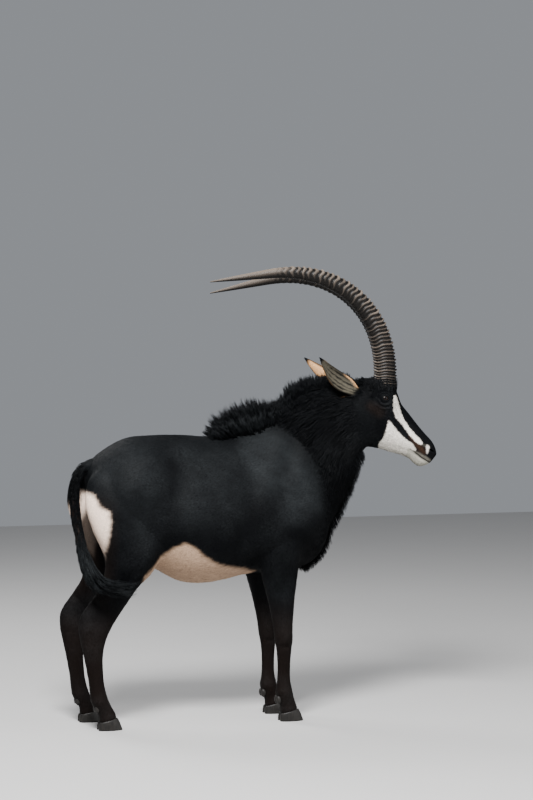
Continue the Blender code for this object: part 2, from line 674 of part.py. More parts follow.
def horn_rings(side, sign, stations, ribbed=True):
    """Rings of a horn at places along it, with its ribs, turned with the head."""
    fine = np.linspace(0, 1, 400)
    ease = fine / HORN_TURNED
    smooth = np.clip(ease, 0, 1) ** 2 * (3 - 2 * np.clip(ease, 0, 1))
    share = (1 - HORN_EASE) * np.clip(ease, 0, 1) + HORN_EASE * smooth
    heading = HORN_START + HORN_BEND[side] * share
    step = HORN_LENGTH / (len(fine) - 1)
    x = HORN_BASE[0] + np.concatenate(([0], np.cumsum(np.cos(heading[:-1]) * step)))
    z = HORN_BASE[1] + np.concatenate(([0], np.cumsum(np.sin(heading[:-1]) * step)))
    at = np.asarray(stations)
    angle = np.interp(at, fine, heading)
    reach = np.clip(at, 0, 1)
    before = np.minimum(at, 0) * HORN_LENGTH
    centre = np.stack(
        (
            np.interp(at, fine, x) + before * np.cos(angle),
            sign * (HORN_SPACING / 2 + HORN_SPLAY * reach**1.25),
            np.interp(at, fine, z) + before * np.sin(angle),
        ),
        -1,
    )
    radius = HORN_RADIUS * (1 - reach**1.7) ** 0.95 + HORN_TIP
    if ribbed:
        fade = np.clip((HORN_RIBBED - at) / 0.08, 0, 1) * np.clip(at / 0.02, 0, 1)
        radius = radius * (1 + HORN_RIB * fade * (0.5 - 2 * np.abs(ring_count(at) % 1.0 - 0.5)))
    turn = np.linspace(0, 2 * np.pi, HORN_SIDES, endpoint=False)
    up = np.stack((-np.sin(angle), np.zeros_like(angle), np.cos(angle)), -1)
    across = np.array((0.0, 1.0, 0.0))
    ring = (
        up[:, None] * (np.cos(turn) * HORN_DEEP)[None, :, None]
        + across * (np.sin(turn) * HORN_WIDE)[None, :, None]
    ) * radius[:, None, None]
    return turned(centre[:, None] + ring, 1.0)


def ear_rings(side, sign, stations):
    """Rings of an ear: the outer curve of the cup and back along its inner curve."""
    base = np.array(EAR_BASE) * (1, sign, 1)
    tip = np.array(EAR_TIP[side]) * (1, sign, 1)
    axis = unit(tip - base)
    length = np.linalg.norm(tip - base)
    mouth = unit(np.array(EAR_FACING) * (1, sign, 1))
    mouth = unit(mouth - axis * (mouth @ axis))
    across = np.cross(axis, mouth)
    rings = []
    for at in stations:
        reach = min(max(at, 0.0), 1.0)
        half = np.interp(reach, EAR_STATIONS, EAR_HALF_WIDTHS)
        depth = np.interp(reach, EAR_STATIONS, EAR_DEPTHS)
        wall = np.interp(reach, EAR_STATIONS, EAR_WALLS)
        v = np.linspace(-1, 1, EAR_POINTS)
        bow = np.array(EAR_SAG) - mouth * EAR_CURL
        centre = base + axis * length * at + bow * math.sin(math.pi * reach)
        outer = centre + across * (half * np.sin(v * 1.45) / math.sin(1.45))[:, None]
        outer = outer - mouth * (depth * np.cos(v * 1.45))[:, None]
        inset = np.clip(half - wall, 0.3 * half, None)
        inner = centre + across * (inset * np.sin(v[::-1] * 1.3) / math.sin(1.45))[:, None]
        inner = inner - mouth * (np.maximum(depth - wall, 0) * np.cos(v[::-1] * 1.3))[:, None]
        inner = inner + mouth * 0.0006
        rings.append(np.vstack([outer, inner]))
    return turned(np.array(rings), 1.0)


def tail_rings(stations, line, radii):
    """Rings of the tail along its own line."""
    fine = spread(line, 24)
    along_line = np.linspace(0, 1, len(fine))
    centre = np.stack([np.interp(stations, along_line, fine[:, k]) for k in range(3)], -1)
    ahead = np.stack([np.interp(np.add(stations, 0.02), along_line, fine[:, k]) for k in range(3)], -1)
    behind = np.stack([np.interp(np.subtract(stations, 0.02), along_line, fine[:, k]) for k in range(3)], -1)
    way = unit(ahead - behind)
    side = unit(np.cross(way, (0.0, 1.0, 0.0)))
    across = np.cross(side, way)
    radius = np.interp(stations, np.linspace(0, 1, len(radii)), radii)
    turn = np.linspace(0, 2 * np.pi, TAIL_SIDES, endpoint=False)
    ring = side[:, None] * np.cos(turn)[None, :, None] + across[:, None] * np.sin(turn)[None, :, None]
    return centre[:, None] + ring * radius[:, None, None]


def eye_frame(sign):
    """The eyeball's centre and the way it looks, once the head has turned."""
    centre = turned(np.array(EYE_CENTRE) * (1, sign, 1), 1.0)
    looking = turned(np.array(EYE_CENTRE) * (1, sign, 1) + unit((0.25, sign * 0.95, 0.06)), 1.0) - centre
    return Vector(centre), Vector(looking)


def ball(name, centre, radius, segments, rows):
    bpy.ops.mesh.primitive_uv_sphere_add(radius=radius, segments=segments, ring_count=rows)
    made = bpy.context.active_object
    made.name = name
    made.data.transform(Matrix.Translation(centre))
    for old in list(made.users_collection):
        old.objects.unlink(made)
    bpy.data.collections[COLLECTION].objects.link(made)
    return made


def eye_opening(sign):
    """A cone with an almond outline, from the eyeball's centre outwards, that opens the lids."""
    centre, looking = eye_frame(sign)
    forward = Vector((math.cos(HEAD_YAW), math.sin(HEAD_YAW), 0.0))
    forward = (forward - looking * forward.dot(looking)).normalized()
    upward = looking.cross(forward) * -sign
    slant = math.radians(LID_SLANT)
    long_way = forward * math.cos(slant) + upward * -math.sin(slant)
    short_way = looking.cross(long_way)
    reach, breadth, height = LIDS
    points = []
    count = 14
    for step in range(count):
        angle = 2 * math.pi * step / count
        wide = math.cos(angle)
        tall = math.sin(angle) * (1 - 0.35 * abs(wide) ** 1.5)
        points.append(centre + looking * reach + long_way * wide * breadth + short_way * tall * height)
    points.append(centre + looking * 0.004)
    faces = [[k, (k + 1) % count, count] for k in range(count)] + [list(range(count))[::-1]]
    return new_object("eye opening", [tuple(point) for point in points], faces)


def mouth_cutter():
    """A thin blade that follows the line of the mouth along both sides and round the front."""
    blades = []
    for sign in (-1, 1):
        rings = []
        for x, z, half in spread(MOUTH_LINE, 3):
            inner, outer = max(half - MOUTH_DEPTH, 0.0), half + 0.02
            corners = ((inner, 1), (outer, 1), (outer, -1), (inner, -1))
            rings.append([(x, sign * (y - 0.001), z + MOUTH_OPEN / 2 * up) for y, up in corners])
        blades.append(tube("mouth", turned(np.array(rings), 1.0)))
    return blades


def nostril_cutter(sign):
    """A slanted drop-shaped hole, wider at its front end."""
    made = ball("nostril", Vector((0, 0, 0)), 1.0, 12, 8)
    made.data.transform(Matrix.Diagonal((NOSTRIL[0], NOSTRIL[1], NOSTRIL[2], 1)))
    made.data.transform(Matrix.Rotation(math.radians(NOSTRIL_SLANT), 4, "Y"))
    points = points_of(made) + np.array(NOSTRIL_CENTRE) * (1, sign, 1)
    move_points(made, turned(points, 1.0))
    return made


def claw(name, front, heel, across, sign):
    """One claw of a hoof: a flat sole, a straight inner face, and a toe that leans forwards."""
    turn = np.linspace(0, 2 * np.pi, 14, endpoint=False)
    rings = []
    for up in (0.0, 0.18, 0.6, 1.0):
        toe = HOOF_TOE * (1 - up)
        start, stop = heel[0] - HOOF_HEEL * (1 - up), front[0] + toe
        middle, half_length = (start + stop) / 2, (stop - start) / 2
        x = middle + half_length * np.cos(turn)
        pinch = 1 - HOOF_PINCH * np.clip(np.cos(turn), 0, 1) ** 2.5
        y = np.sin(turn) * HOOF_WIDTH / 2 * pinch * (1.0 - 0.05 * up)
        y = np.where(np.sign(y) == -sign, y * HOOF_INNER, y)
        top = heel[1] + (front[1] - heel[1]) * (x - heel[0]) / (front[0] - heel[0])
        rings.append(np.stack((x, across + y, np.maximum(top, 0.02) * up), -1))
    return tube(name, np.array(rings))


def material(name, colour, roughness):
    made = bpy.data.materials.new(name)
    made.use_nodes = True
    shader = made.node_tree.nodes["Principled BSDF"]
    shader.inputs["Base Color"].default_value = (*colour, 1.0)
    shader.inputs["Roughness"].default_value = roughness
    shader.inputs["Metallic"].default_value = 0.0
    return made


def make_flesh():
    """The two sources of flesh: the body with its legs, and the head with a finer grain."""
    legs = []
    for side, sign in SIDES:
        for kind, girths in (("fore", FORELEG), ("hind", HINDLEG)):
            rings = rings_of(girths, 24, 3, sign, STANCE[f"{kind}_{side}"])
            legs.append(tube(f"{kind}_{side}", rings))
    core = tube("mane core", rings_of(MANE_CORE, 12, 3))
    trunk = tube("trunk", rings_of(TRUNK, 40, 3))
    neck = tube("neck flesh", rings_of(NECK, 32, 3))
    body = fused("body flesh", [trunk, neck, core, *legs], BODY_VOXEL, 5)
    swell(body, BODY_SWELLINGS)
    skull = tube("skull", rings_of(HEAD, 36, 3))
    nape = tube("nape", rings_of(NECK[3:], 32, 3))
    head = fused("head flesh", [skull, nape], HEAD_VOXEL, 5)
    swell(head, HEAD_SWELLINGS, 1.0)
    return body, head


def hair_locks(body, draw):
    """All locks of the mane, the beard and the sides of the neck."""
    flesh = surface_of(body)
    locks = [one for row in MANE_ROWS for one in mane_locks(flesh, row, MANE_COUNT, draw)]
    locks += [one for row in BEARD_ROWS for one in beard_locks(flesh, row, BEARD_COUNT, draw)]
    locks += [one for _, sign in SIDES for one in drape_locks(flesh, sign, draw)]
    return locks


def make_torso(body, locks):
    torso = region("torso", body, [opposite(NECK_CUT)], TORSO_TRIANGLES)
    seats = []
    for _, sign in SIDES:
        for outline, inner in ((FORE_SEAT, FORE_INNER), (HIND_SEAT, HIND_INNER)):
            corners = [(x, sign * y, z) for y in (inner - GAP / 2, 0.6) for x, z in outline]
            count = len(outline)
            sides = [[k, (k + 1) % count, count + (k + 1) % count, count + k] for k in range(count)]
            faces = [*sides, list(range(count)), list(range(count, 2 * count))]
            seats.append(new_object("seat", corners, faces))
    boolean(torso, seats, "DIFFERENCE")
    stub = tube("dock stub", tail_rings(np.linspace(0.0, DOCK_START, 3), TAIL_LINE, TAIL_RADII))
    boolean(torso, [stub], "UNION")
    keep_largest(torso)
    with_locks(torso, [one for one in locks if behind(one, NECK_CUT)], "torso")
    return part_at(torso, opposite(NECK_CUT))


def behind(rings, plane):
    """Whether a lock's root stands behind a plane, on the side its normal points away from."""
    point, normal = plane
    return float((rings[0].mean(0) - np.array(point)) @ np.array(normal)) > 0


def make_neck(body, locks):
    neck = region("neck", body, [NECK_CUT, opposite(HEAD_CUT)], NECK_TRIANGLES)
    grown = [one for one in locks if not behind(one, NECK_CUT) and behind(one, HEAD_CUT)]
    with_locks(neck, grown, "neck")
    return part_at(part_at(neck, NECK_CUT), opposite(HEAD_CUT))


def make_head(source, locks):
    head = region("head", source, [HEAD_CUT], HEAD_TRIANGLES)
    stubs = []
    for side, sign in SIDES:
        stubs.append(tube("horn stub", horn_rings(side, sign, (-0.045, -0.02, HORN_STUB), False)))
        stubs.append(tube("ear stub", ear_rings(side, sign, (-0.16, -0.05, EAR_START))))
        stubs.append(ball("lids", eye_frame(sign)[0], EYE_RADIUS + LID_THICKNESS, 16, 9))
    boolean(head, stubs, "UNION")
    openings = [nostril_cutter(sign) for _, sign in SIDES] + mouth_cutter()
    openings += [eye_opening(sign) for _, sign in SIDES]
    for opening in openings:
        boolean(head, [opening], "DIFFERENCE")
    sockets = [ball("socket", eye_frame(sign)[0], EYE_RADIUS + GAP, 14, 8) for _, sign in SIDES]
    boolean(head, sockets, "DIFFERENCE")
    with_locks(head, [one for one in locks if not behind(one, HEAD_CUT)], "head")
    return part_at(head, HEAD_CUT)


def make_leg(body, kind, side, sign):
    name = f"{kind}leg_{side}"
    outline, inner = (FORE_SEAT, FORE_INNER) if kind == "fore" else (HIND_SEAT, HIND_INNER)
    cuts = LEG_CUTS[kind]
    shift = STANCE[f"{kind}_{side}"]
    joint, fetlock, coronet = (
        line_plane((first[0] + shift, first[1]), (second[0] + shift, second[1]))
        for first, second in cuts
    )
    rear_top, front_top, front_low, rear_low = outline
    seat = [
        opposite(line_plane(front_top, rear_top)),
        opposite(line_plane(rear_top, rear_low)),
        line_plane(front_top, front_low),
        ((0, sign * inner, 0), (0, -sign, 0)),
    ]
    end = 1 if kind == "fore" else -1
    one_leg = [((0, sign * 0.012, 0), (0, -sign, 0)), ((0, 0, 0), (-end, 0, 0))]
    flesh = (
        (f"{name}_upper", [*seat, joint], LEG_TRIANGLES[0]),
        (f"{name}_cannon", [*one_leg, opposite(joint), fetlock], LEG_TRIANGLES[1]),
        (f"{name}_foot", [*one_leg, opposite(fetlock), coronet], LEG_TRIANGLES[2]),
    )
    made = [region(title, body, planes, count) for title, planes, count in flesh]
    girths = FORELEG if kind == "fore" else HINDLEG
    across = sign * girths[-1].side
    front, heel = ((x + shift, z - GAP) for x, z in cuts[2])
    for title, step in (("outer", sign), ("inner", -sign)):
        place = across + step * (HOOF_WIDTH * 0.5 * 0.84)
        hoof = claw(f"{name}_hoof_{title}", front, heel, place, step)
        dewclaw = ball("dewclaw", Vector((0, 0, 0)), 1.0, 6, 5)
        back, beside, high = DEWCLAW_PLACE
        dewclaw.data.transform(Matrix.Diagonal((*DEWCLAW, 1)))
        dewclaw.data.transform(Matrix.Translation((heel[0] + back, across + step * beside, high)))
        boolean(made[2], [dewclaw], "UNION")
        made.append(hoof)
    return made


def make_tail(draw):
    stations = np.linspace(DOCK_START, DOCK_END, 9)
    stations[0] += GAP / 1.05
    dock = tube("tail_dock", tail_rings(stations, TAIL_LINE, TAIL_RADII))
    stations = np.linspace(DOCK_END, 1.0, 6)
    stations[0] += GAP / 1.05
    tuft = tube("tail_tuft", tail_rings(stations, TAIL_LINE, TAIL_RADII))
    locks = []
    fine = spread(TAIL_LINE, 24)
    for step in range(TUFT_COUNT):
        share = step / (TUFT_COUNT - 1)
        at = DOCK_END + 0.035 + (0.985 - DOCK_END - 0.035) * share
        place = at * (len(fine) - 1)
        index = int(min(place, len(fine) - 2))
        root = fine[index] + (fine[index + 1] - fine[index]) * (place - index)
        way = unit(fine[min(index + 6, len(fine) - 1)] - fine[max(index - 6, 0)])
        sideways = draw.uniform(-1, 1)
        heading = unit(way + np.array((0, -0.10, 0.28)) * sideways + (0.0, -0.05, -0.08))
        flat = np.cross(heading, (0, 1, 0))
        length = TUFT_LENGTH * (0.75 + 0.45 * share) * draw.uniform(0.85, 1.15)
        bend = np.array((0.10, -0.02, 0.10 + 0.10 * share)) * draw.uniform(0.4, 1.5)
        locks.append(lock(root, heading, flat, length, TUFT_WIDTH, TUFT_THICKNESS, bend))
    return dock, with_locks(tuft, locks, "tail_tuft")


def main():
    for obj in list(bpy.data.objects):
        bpy.data.objects.remove(obj)
    group = bpy.data.collections.new(COLLECTION)
    bpy.context.scene.collection.children.link(group)
    draw = random.Random(7)
    body, source = make_flesh()
    locks = hair_locks(body, draw)
    flesh = [make_torso(body, locks), make_neck(body, locks), make_head(source, locks)]
    hooves = []
    for side, sign in SIDES:
        for kind in ("fore", "hind"):
            made = make_leg(body, kind, side, sign)
            flesh += made[:3]
            hooves += made[3:]
    flesh += make_tail(draw)
    horns = [
        tube(f"horn_{side}", horn_rings(side, sign, horn_stations())) for side, sign in SIDES
    ]
    ears = [
        tube(f"ear_{side}", ear_rings(side, sign, ear_stations())) for side, sign in SIDES
    ]
    eyes = [ball(f"eye_{side}", eye_frame(sign)[0], EYE_RADIUS, 14, 8) for side, sign in SIDES]
    for source_flesh in (body, source):
        bpy.data.objects.remove(source_flesh)
    finishes = (
        (flesh, material("black coat", (0.012, 0.011, 0.012), 0.55)),
        (ears, material("tan ear", (0.42, 0.27, 0.15), 0.7)),
        (horns, material("ringed horn", (0.10, 0.085, 0.07), 0.5)),
        (hooves, material("hoof", (0.05, 0.045, 0.04), 0.45)),
        (eyes, material("eye", (0.02, 0.012, 0.008), 0.1)),
    )
    for objects, finish in finishes:
        for obj in objects:
            obj.data.materials.clear()
            obj.data.materials.append(finish)
    settle(flesh + horns + ears + eyes + hooves)


def horn_stations():
    """Two stations for each rib, its crest and its valley, and a few along the smooth end."""
    fine = np.linspace(0, HORN_RIBBED, 2000)
    ribs = np.interp(np.arange(2 * HORN_RINGS + 1) / 2, ring_count(fine), fine)
    smooth = HORN_RIBBED + (1 - HORN_RIBBED) * np.linspace(0, 1, 8)[1:]
    start = HORN_STUB + GAP / HORN_LENGTH
    return np.concatenate(([start], ribs[ribs > start + 0.004], smooth))


def ear_stations():
    return np.concatenate(([EAR_START + 0.0015], np.array(EAR_STATIONS)[1:]))


def settle(objects):
    """Moves the animal so that its origin is on the floor, under the middle of its box."""
    points = np.vstack([points_of(obj) for obj in objects])
    low, high = points.min(0), points.max(0)
    shift = Matrix.Translation((-(low[0] + high[0]) / 2, -(low[1] + high[1]) / 2, -low[2]))
    for obj in objects:
        obj.data.transform(shift)


main()
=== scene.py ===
"""A life-size sable antelope bull in its coat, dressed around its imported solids.

Metres, +Z up. Shapes are worked out in the builder's own frame, where the animal stands over x = 0, faces
+X and has its left at +Y. Each finished mesh is then moved by SHIFT to where the solids stand.
"""

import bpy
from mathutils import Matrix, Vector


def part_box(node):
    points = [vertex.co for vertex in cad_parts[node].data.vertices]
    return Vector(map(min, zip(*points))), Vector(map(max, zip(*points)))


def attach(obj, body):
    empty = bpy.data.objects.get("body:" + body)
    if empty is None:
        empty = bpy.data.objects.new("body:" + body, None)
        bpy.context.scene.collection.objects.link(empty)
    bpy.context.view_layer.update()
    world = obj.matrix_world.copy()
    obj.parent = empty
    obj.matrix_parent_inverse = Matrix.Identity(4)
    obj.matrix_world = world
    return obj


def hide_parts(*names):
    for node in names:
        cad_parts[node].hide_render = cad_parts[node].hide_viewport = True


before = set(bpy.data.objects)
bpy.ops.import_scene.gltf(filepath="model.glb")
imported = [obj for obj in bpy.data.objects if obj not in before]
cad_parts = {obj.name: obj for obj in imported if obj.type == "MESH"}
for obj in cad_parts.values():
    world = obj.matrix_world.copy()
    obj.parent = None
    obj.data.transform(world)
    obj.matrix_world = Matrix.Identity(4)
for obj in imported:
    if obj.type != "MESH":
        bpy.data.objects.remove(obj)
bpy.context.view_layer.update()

import math
from collections import namedtuple

import bmesh
import bpy
import numpy as np
from bpy.props import FloatProperty, FloatVectorProperty, IntProperty, PointerProperty
from mathutils import Matrix, Vector

bl_info = {
    "name": "Sable antelope",
    "version": (1, 0, 0),
    "blender": (4, 5, 0),
    "location": "3D View > Sidebar > Antelope",
    "description": "Makes a life-size sable antelope bull with its coat, horns, hooves and eyes",
    "category": "Object",
}

BODY = "root"
SIDES = (("right", -1.0), ("left", 1.0))
NOTHING = 1e-9

# The turn of the head
HEAD_YAW = math.radians(-16)
HEAD_REACH = 0.006
NECK_PIVOT_X = 0.60
TURN_WAY = (0.92, 0.39)
TURN_PLACES = (0.87, 0.97, 1.07, 1.155, 1.23, 1.295)
TURN_SHARES = (0.0, 0.12, 0.34, 0.62, 0.86, 1.0)

# Horns
HORN_LENGTH = 1.110
HORN_BEND = {"right": math.radians(99.4), "left": math.radians(104.5)}
HORN_START = math.radians(88.3)
HORN_TURNED = 0.761
HORN_EASE = 0.38
HORN_BASE = (0.915, 1.562)
HORN_SPACING = 0.082
HORN_SPLAY = 0.128
HORN_RADIUS = 0.043
HORN_TIP = 0.0022
HORN_DEEP = 1.10
HORN_WIDE = 0.82
HORN_RIBBED = 0.72
HORN_CROWDING = 0.33
HORN_EASING = 3.0
HORN_ROOT = -0.03
HORN_STATIONS = 460
HORN_AROUND = 40

# Eyes and ears
EYE_RADIUS = 0.0215
EYE_CENTRE = (0.912, 0.0660, 1.478)
LID_THICKNESS = 0.0042
LID_SLANT = 28
LID_RIM = 0.0024
SOCKET_GAP = 0.0002
EYE_WIDE = 0.84
EYE_TALL = 0.46
EAR_BASE = (0.786, 0.076, 1.505)
EAR_TIP = {"right": (0.614, 0.150, 1.666), "left": (0.548, 0.135, 1.656)}
EAR_FACING = (0.30, 1.0, 0.20)
EAR_STATIONS = (0.0, 0.12, 0.26, 0.42, 0.58, 0.74, 0.88, 1.0)
EAR_HALF_WIDTHS = (0.023, 0.034, 0.042, 0.0425, 0.035, 0.024, 0.014, 0.003)
EAR_DEPTHS = (0.026, 0.032, 0.034, 0.031, 0.026, 0.018, 0.010, 0.0035)
EAR_WALLS = (0.026, 0.020, 0.007, 0.0055, 0.005, 0.0045, 0.004, 0.0025)
EAR_CURL = 0.014
EAR_SAG = (-0.006, 0.0, -0.007)
EAR_UPPER = -1.0

# Skin
BODY_VOXEL = 0.0092
HEAD_VOXEL = 0.0037
BODY_DEPTH = 0.0026
SHANK_DEPTH = 0.0014
HEAD_DEPTH = 0.0014
HEAD_LINE = ((0.702, 1.600), (0.800, 1.225))
HEAD_OVERLAP = 0.010
# A faint grey painted sheen, added to the coat's colour in fine streaks and slow patches.
COAT_PAINTED_SHEEN = (0.0052, 0.0058, 0.0061)
POLL = (0.815, 0.0, 1.552)
NOSE = (1.150, 0.0, 1.232)
EYE_EASE, EAR_EASE, POLL_EASE = 0.034, 0.040, 0.060
LID_EDGE = (0.0240, 0.0252)

# Hair: where the body's coat gives way to the shanks', the room it leaves, and how many tufts there are
COAT_SEAM = (0.48, 0.64)
TAIL_CLEARANCE = 0.030
EAR_CLEARANCE = 0.062
EAR_HAIR = 0.0062
TUFTS = {
    "coat_rear": 19500, "coat_fore": 19500, "coat_legs": 14000, "coat_face": 19000, "coat_ears": 9000,
    "mane": 12000, "neck_hair": 12000, "throat_hair": 4200, "tail_hair": 5200, "poll_hair": 3200,
}

# Hooves
HOOF_WIDTH = 0.043
HOOF_TOE = 0.024

Girth = namedtuple("Girth", "top_x top_z low_x low_z half widest top_power low_power side turn")


def girth(top, low, half, widest=0.5, powers=(2.1, 2.1), side=0.0, turn=0.0):
    """One cross-section, from its two points on the outline and what differs from the usual."""
    return Girth(*top, *low, half, widest, *powers, side, turn)


# A girth names a cross-section by its two points on the outline seen from the side, its half width, how
# far down its widest place is, how square its halves are, how far to the side it stands, and its share
# of the head's turn.
TRUNK = (
    girth((-0.488, 1.125), (-0.470, 1.000), 0.045),
    girth((-0.468, 1.195), (-0.452, 0.890), 0.110),
    girth((-0.410, 1.252), (-0.390, 0.805), 0.162, 0.46, (1.9, 2.2)),
    girth((-0.300, 1.309), (-0.285, 0.760), 0.200, 0.42, (1.8, 2.2)),
    girth((-0.180, 1.321), (-0.180, 0.715), 0.208, 0.48, (1.7, 2.2)),
    girth((-0.050, 1.321), (-0.060, 0.650), 0.222, 0.56, (1.7, 2.1)),
    girth((0.050, 1.313), (0.045, 0.635), 0.228, 0.58, (1.7, 2.1)),
    girth((0.140, 1.308), (0.150, 0.647), 0.224, 0.58, (1.7, 2.1)),
    girth((0.230, 1.328), (0.250, 0.668), 0.212, 0.58, (1.5, 2.1)),
    girth((0.320, 1.354), (0.345, 0.672), 0.200, 0.58, (1.4, 2.1)),
    girth((0.410, 1.350), (0.450, 0.672), 0.190, 0.56, (1.6, 2.1)),
    girth((0.500, 1.310), (0.560, 0.705), 0.172, 0.52),
    girth((0.570, 1.220), (0.630, 0.780), 0.140),
    girth((0.620, 1.100), (0.665, 0.900), 0.080),
)
NECK = (
    girth((0.250, 1.300), (0.510, 0.745), 0.165, 0.50, (1.6, 2.1)),
    girth((0.345, 1.362), (0.620, 0.815), 0.162, 0.50, (1.5, 2.1)),
    girth((0.440, 1.405), (0.688, 0.920), 0.148, 0.50, (1.5, 2.0), turn=0.12),
    girth((0.540, 1.455), (0.735, 1.030), 0.124, 0.48, (1.6, 2.0), turn=0.34),
    girth((0.630, 1.496), (0.770, 1.125), 0.106, 0.46, (1.7, 2.0), turn=0.62),
    girth((0.720, 1.525), (0.800, 1.205), 0.092, 0.44, (1.8, 2.0), turn=0.86),
    girth((0.800, 1.545), (0.832, 1.248), 0.084, 0.44, (2.0, 2.1), turn=1.0),
    girth((0.865, 1.545), (0.880, 1.262), 0.072, 0.44, (2.0, 2.1), turn=1.0),
)
HEAD = tuple(
    girth(*row, turn=1.0)
    for row in (
        ((0.795, 1.540), (0.815, 1.270), 0.055, 0.45, (2.2, 2.0)),
        ((0.825, 1.566), (0.835, 1.252), 0.071, 0.42, (2.4, 1.9)),
        ((0.868, 1.564), (0.868, 1.246), 0.080, 0.38, (2.6, 1.8)),
        ((0.925, 1.560), (0.905, 1.237), 0.082, 0.34, (2.7, 1.7)),
        ((0.967, 1.512), (0.945, 1.224), 0.076, 0.32, (2.7, 1.7)),
        ((0.992, 1.450), (0.978, 1.215), 0.062, 0.40, (2.7, 1.9)),
        ((1.028, 1.404), (1.004, 1.206), 0.052, 0.46, (2.6, 2.1)),
        ((1.064, 1.358), (1.028, 1.194), 0.045, 0.50, (2.6, 2.2)),
        ((1.100, 1.315), (1.048, 1.174), 0.041, 0.54, (2.6, 2.3)),
        ((1.133, 1.279), (1.070, 1.160), 0.040, 0.56, (2.6, 2.4)),
        ((1.151, 1.246), (1.096, 1.161), 0.036, 0.54, (2.6, 2.4)),
        ((1.158, 1.216), (1.126, 1.175), 0.025, 0.50, (2.4, 2.4)),
    )
)
FORELEG = (
    girth((0.500, 0.900), (0.300, 0.860), 0.060, side=0.110),
    girth((0.490, 0.780), (0.290, 0.760), 0.068, side=0.118),
    girth((0.474, 0.670), (0.303, 0.665), 0.062, 0.55, side=0.120),
    girth((0.463, 0.580), (0.328, 0.575), 0.053, 0.55, side=0.118),
    girth((0.455, 0.480), (0.350, 0.478), 0.044, side=0.115),
    girth((0.452, 0.410), (0.362, 0.410), 0.041, side=0.113),
    girth((0.453, 0.370), (0.366, 0.372), 0.042, side=0.112),
    girth((0.447, 0.325), (0.374, 0.330), 0.035, side=0.112),
    girth((0.443, 0.260), (0.379, 0.262), 0.029, side=0.112),
    girth((0.443, 0.190), (0.378, 0.190), 0.029, side=0.111),
    girth((0.453, 0.140), (0.371, 0.136), 0.036, side=0.110),
    girth((0.459, 0.112), (0.379, 0.098), 0.036, side=0.109),
    girth((0.468, 0.084), (0.393, 0.066), 0.034, side=0.109),
    girth((0.477, 0.060), (0.392, 0.038), 0.041, side=0.108),
    girth((0.472, 0.046), (0.398, 0.027), 0.034, side=0.108),
)
HINDLEG = (
    girth((-0.330, 1.165), (-0.425, 1.205), 0.030, side=0.080),
    girth((-0.270, 1.095), (-0.494, 1.140), 0.055, side=0.094),
    girth((-0.225, 1.020), (-0.516, 1.070), 0.068, side=0.104),
    girth((-0.185, 0.930), (-0.517, 1.000), 0.076, side=0.114),
    girth((-0.170, 0.810), (-0.486, 0.900), 0.084, side=0.120),
    girth((-0.205, 0.715), (-0.446, 0.810), 0.078, side=0.122),
    girth((-0.278, 0.640), (-0.432, 0.738), 0.062, side=0.124),
    girth((-0.328, 0.570), (-0.452, 0.655), 0.050, side=0.124),
    girth((-0.366, 0.515), (-0.506, 0.578), 0.041, 0.45, side=0.122),
    girth((-0.398, 0.464), (-0.550, 0.510), 0.039, 0.4, side=0.121),
    girth((-0.424, 0.410), (-0.552, 0.440), 0.040, 0.4, side=0.120),
    girth((-0.438, 0.350), (-0.536, 0.360), 0.037, side=0.120),
    girth((-0.440, 0.290), (-0.522, 0.292), 0.032, side=0.120),
    girth((-0.434, 0.210), (-0.508, 0.210), 0.031, side=0.120),
    girth((-0.420, 0.150), (-0.500, 0.140), 0.037, side=0.120),
    girth((-0.404, 0.112), (-0.484, 0.098), 0.037, side=0.120),
    girth((-0.388, 0.084), (-0.463, 0.066), 0.035, side=0.120),
    girth((-0.378, 0.060), (-0.463, 0.038), 0.042, side=0.120),
    girth((-0.383, 0.046), (-0.457, 0.027), 0.035, side=0.120),
)
MANE_CORE = (
    girth((0.120, 1.318), (0.120, 1.270), 0.012),
    girth((0.175, 1.352), (0.180, 1.270), 0.022),
    girth((0.255, 1.382), (0.262, 1.285), 0.026),
    girth((0.335, 1.400), (0.345, 1.310), 0.028),
    girth((0.405, 1.410), (0.430, 1.340), 0.030, turn=0.05),
    girth((0.470, 1.455), (0.500, 1.380), 0.036, turn=0.20),
    girth((0.545, 1.500), (0.570, 1.410), 0.040, turn=0.38),
    girth((0.625, 1.528), (0.645, 1.440), 0.042, turn=0.60),
    girth((0.700, 1.540), (0.715, 1.460), 0.040, turn=0.80),
    girth((0.765, 1.550), (0.775, 1.480), 0.034, turn=0.95),
)
STANCE = {"fore_right": 0.006, "fore_left": -0.006, "hind_right": 0.008, "hind_left": -0.030}
CORONETS = {"fore": ((0.477, 0.056), (0.392, 0.034)), "hind": ((-0.378, 0.056), (-0.463, 0.034))}

# A swelling or a hollow of the flesh: its place seen from the side, its radii along and across its own
# slant in degrees, and its height.
Swelling = namedtuple("Swelling", "x z long_radius short_radius slant height")
BODY_SWELLINGS = (
    Swelling(0.330, 1.080, 0.200, 0.075, 75, 0.016),
    Swelling(0.520, 0.920, 0.110, 0.080, 60, 0.018),
    Swelling(0.350, 0.830, 0.110, 0.090, 20, 0.022),
    Swelling(0.215, 0.930, 0.160, 0.045, 80, -0.012),
    Swelling(-0.340, 1.020, 0.170, 0.120, 70, 0.020),
    Swelling(-0.215, 1.215, 0.055, 0.040, 10, 0.014),
    Swelling(-0.225, 0.800, 0.090, 0.060, 60, 0.014),
    Swelling(-0.115, 1.060, 0.120, 0.060, 70, -0.016),
    Swelling(0.440, 1.200, 0.150, 0.040, 70, -0.010),
)
HEAD_SWELLINGS = (
    Swelling(0.905, 1.512, 0.042, 0.016, -25, 0.007),
    Swelling(0.885, 1.330, 0.075, 0.050, 70, 0.007),
    Swelling(0.960, 1.400, 0.080, 0.013, -55, 0.005),
    Swelling(1.090, 1.235, 0.030, 0.022, -45, 0.004),
    Swelling(1.010, 1.300, 0.050, 0.020, -50, -0.004),
)
